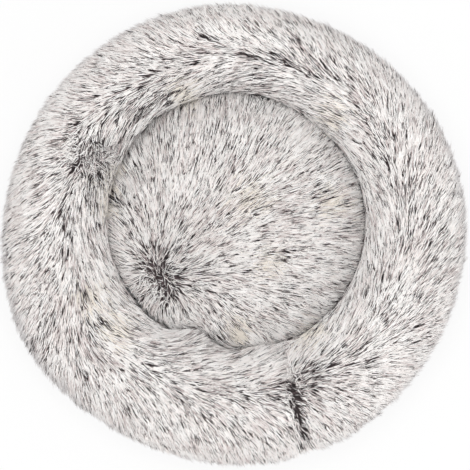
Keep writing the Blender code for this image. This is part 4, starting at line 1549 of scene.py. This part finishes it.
def bound_ring(points, roots, share, slack):
    """Keeps the ring's tips off the floor, on their side of the parting and off the cushion, over
    which they hang in one place."""
    points[:, 2] = np.maximum(points[:, 2], 2.0 * MM)
    beside, below = from_parting(points)
    rooted, _ = from_parting(roots)
    over = np.maximum(beside - 11 * slack**3, 0.0) * (rooted < 0) * (below > -4)
    points[:, 0] -= over * PIXEL
    points[:, 2] += over * 0.4 * PIXEL

    out, radius = from_nest(points)
    low = np.exp(-(((roots[:, 2] - 0.075) / 0.035) ** 2)) * (from_nest(roots)[1] < 0.205)
    hang = overhang(out, OVERHANGS)
    moved = hang * low * share
    points[:, :2] -= out * moved[:, None]
    limit = NEST_RADIUS - 0.004 * slack**3 + 0.010 * (1 - slack) ** 3 - hang
    limit += 0.6 * overhang(out, SEAM_SHIFTS)
    limit = np.minimum(limit, from_nest(roots)[1] - 0.001)
    short = np.maximum(limit - (radius - moved), 0.0)
    points[:, :2] += out * short[:, None]


def bound_cushion(points, roots, share, slack):
    """Turns the cushion's tips up where they meet the ring's wall, each at its own place."""
    out, radius = from_nest(points)
    limit = 0.1600 + 0.0110 * slack**3 - overhang(out, OVERHANGS)
    limit += overhang(out, CROSSINGS + SEAM_SHIFTS)
    over = np.maximum(radius - limit, 0.0)
    points[:, :2] -= out * (over * 0.85)[:, None]
    points[:, 2] += over * 0.45


def overhang(out, table):
    """How far from the nest seam the piles meet in each way outwards from the nest's middle."""
    seam = np.column_stack((NEST_SHIFT + out * NEST_RADIUS, np.zeros(len(out))))
    return place_sums(seam, table)


class CATBED_OT_pile(bpy.types.Operator):
    """Grow the long pile of the ring and the cushion"""

    bl_idname = "catbed.pile"
    bl_label = "Pile"

    def execute(self, context):
        sizes = context.scene.catbed_sizes
        material = pile_material(context.scene.catbed_colours)
        random = np.random.default_rng(SEED)
        made = grow_pile(
            bpy.data.objects["ring_backing"],
            "ring_pile",
            sizes,
            random,
            {
                "count": sizes.ring_locks,
                "spare": 1.6,
                "keep": ring_is_plush,
                "strokes": RING_STROKES,
                "whorls": RING_WHORLS,
                "falls": (0.3, 1.6),
                "walled": True,
                "area": 0.52,
                "lift": 0.62,
                "tip_lift": 0.25,
                "bound": bound_ring,
                "pieces": 9,
                "material": material,
            },
        )
        made += grow_pile(
            bpy.data.objects["cushion_backing"],
            "cushion_pile",
            sizes,
            random,
            {
                "count": sizes.cushion_locks,
                "spare": 3.0,
                "keep": cushion_is_plush,
                "strokes": CUSHION_STROKES,
                "whorls": CUSHION_WHORLS,
                "falls": (0.2, 0.2),
                "walled": False,
                "area": 0.09,
                "lift": 0.55,
                "tip_lift": 0.35,
                "bound": bound_cushion,
                "pieces": 2,
                "material": material,
            },
        )
        for piece in made:
            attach(piece, "bed")
        return {"FINISHED"}


def lamp(name, place, energy):
    """A round soft lamp that points at the bed."""
    data = bpy.data.lights.new(name, "AREA")
    data.energy = energy
    data.shape = "DISK"
    data.size = LAMP_SIZE
    light = bpy.data.objects.new(name, data)
    light.location = place
    light.rotation_euler = (LAMP_AIM - Vector(place)).to_track_quat("-Z", "Y").to_euler()
    bpy.context.scene.collection.objects.link(light)


class CATBED_OT_stage(bpy.types.Operator):
    """Set the floor, the soft lamps, the world and the camera"""

    bl_idname = "catbed.stage"
    bl_label = "Stage"

    def execute(self, context):
        scene = context.scene
        bm = bmesh.new()
        bmesh.ops.create_grid(bm, x_segments=1, y_segments=1, size=6.0)
        material, start = new_material("stage_floor")
        shader = start.node(
            "BsdfPrincipled", inputs={"Base Color": (0.9, 0.9, 0.9, 1.0), "Roughness": 0.9}
        )
        glow = start.node("Emission", inputs={"Color": (1.0, 1.0, 1.0, 1.0), "Strength": 1.0})
        camera_ray = start.node("LightPath", output=0)
        glossy_ray = start.node("LightPath", output=3)
        clear_ray = start.node("LightPath", output=6)
        seen = start.math("MINIMUM", camera_ray + glossy_ray + clear_ray, 1.0) * 0.86
        blend = start.node("MixShader", inputs={0: seen, 1: shader, 2: glow})
        start.node("OutputMaterial", inputs={"Surface": blend})
        floor = add_object("floor", bm, material)
        floor.location.z = -0.0004

        world = bpy.data.worlds.new("studio")
        world.use_nodes = True
        world.node_tree.nodes.clear()
        start = Shade(world.node_tree)
        camera_ray = start.node("LightPath", output=0)
        strength = camera_ray * 0.42 + 0.58
        sky = start.node(
            "Background", inputs={"Color": (1.0, 1.0, 1.0, 1.0), "Strength": strength}
        )
        start.node("OutputWorld", inputs={"Surface": sky})
        scene.world = world

        lamp("key", (-0.1, 0.1, 3.0), 50.0)
        lamp("fill", (1.6, -1.4, 1.6), 8.0)

        camera = bpy.data.cameras.new("camera")
        camera.sensor_width = 36.0
        span = PICTURE_PIXELS * PIXEL
        camera.lens = camera.sensor_width * (CAMERA_HEIGHT - WIDEST_HEIGHT) / span
        shot = bpy.data.objects.new("camera", camera)
        shot.location = (0.5 * PIXEL, -0.5 * PIXEL, CAMERA_HEIGHT)
        scene.collection.objects.link(shot)
        scene.camera = shot
        scene.view_settings.view_transform = "Standard"
        return {"FINISHED"}


class CATBED_PT_panel(bpy.types.Panel):
    """The bed's steps in the sidebar"""

    bl_label = "Cat Bed"
    bl_idname = "CATBED_PT_panel"
    bl_space_type = "VIEW_3D"
    bl_region_type = "UI"
    bl_category = "Cat Bed"

    def draw(self, context):
        for group in (context.scene.catbed_sizes, context.scene.catbed_colours):
            for name in group.__annotations__:
                self.layout.prop(group, name)
        for step in STEPS:
            self.layout.operator(step.bl_idname)


STEPS = (
    CATBED_OT_backings,
    CATBED_OT_fillings,
    CATBED_OT_seams,
    CATBED_OT_base,
    CATBED_OT_zip,
    CATBED_OT_pile,
    CATBED_OT_stage,
)
CLASSES = (BedSizes, BedColours, *STEPS, CATBED_PT_panel)


def register():
    for kind in CLASSES:
        bpy.utils.register_class(kind)
    bpy.types.Scene.catbed_sizes = bpy.props.PointerProperty(type=BedSizes)
    bpy.types.Scene.catbed_colours = bpy.props.PointerProperty(type=BedColours)


def unregister():
    del bpy.types.Scene.catbed_colours
    del bpy.types.Scene.catbed_sizes
    for kind in reversed(CLASSES):
        bpy.utils.unregister_class(kind)


def main():
    register()
    bpy.ops.catbed.backings()
    bpy.ops.catbed.fillings()
    bpy.ops.catbed.seams()
    bpy.ops.catbed.base()
    bpy.ops.catbed.zip()
    bpy.ops.catbed.pile()
    bpy.ops.catbed.stage()


if __name__ == "__main__":
    main()
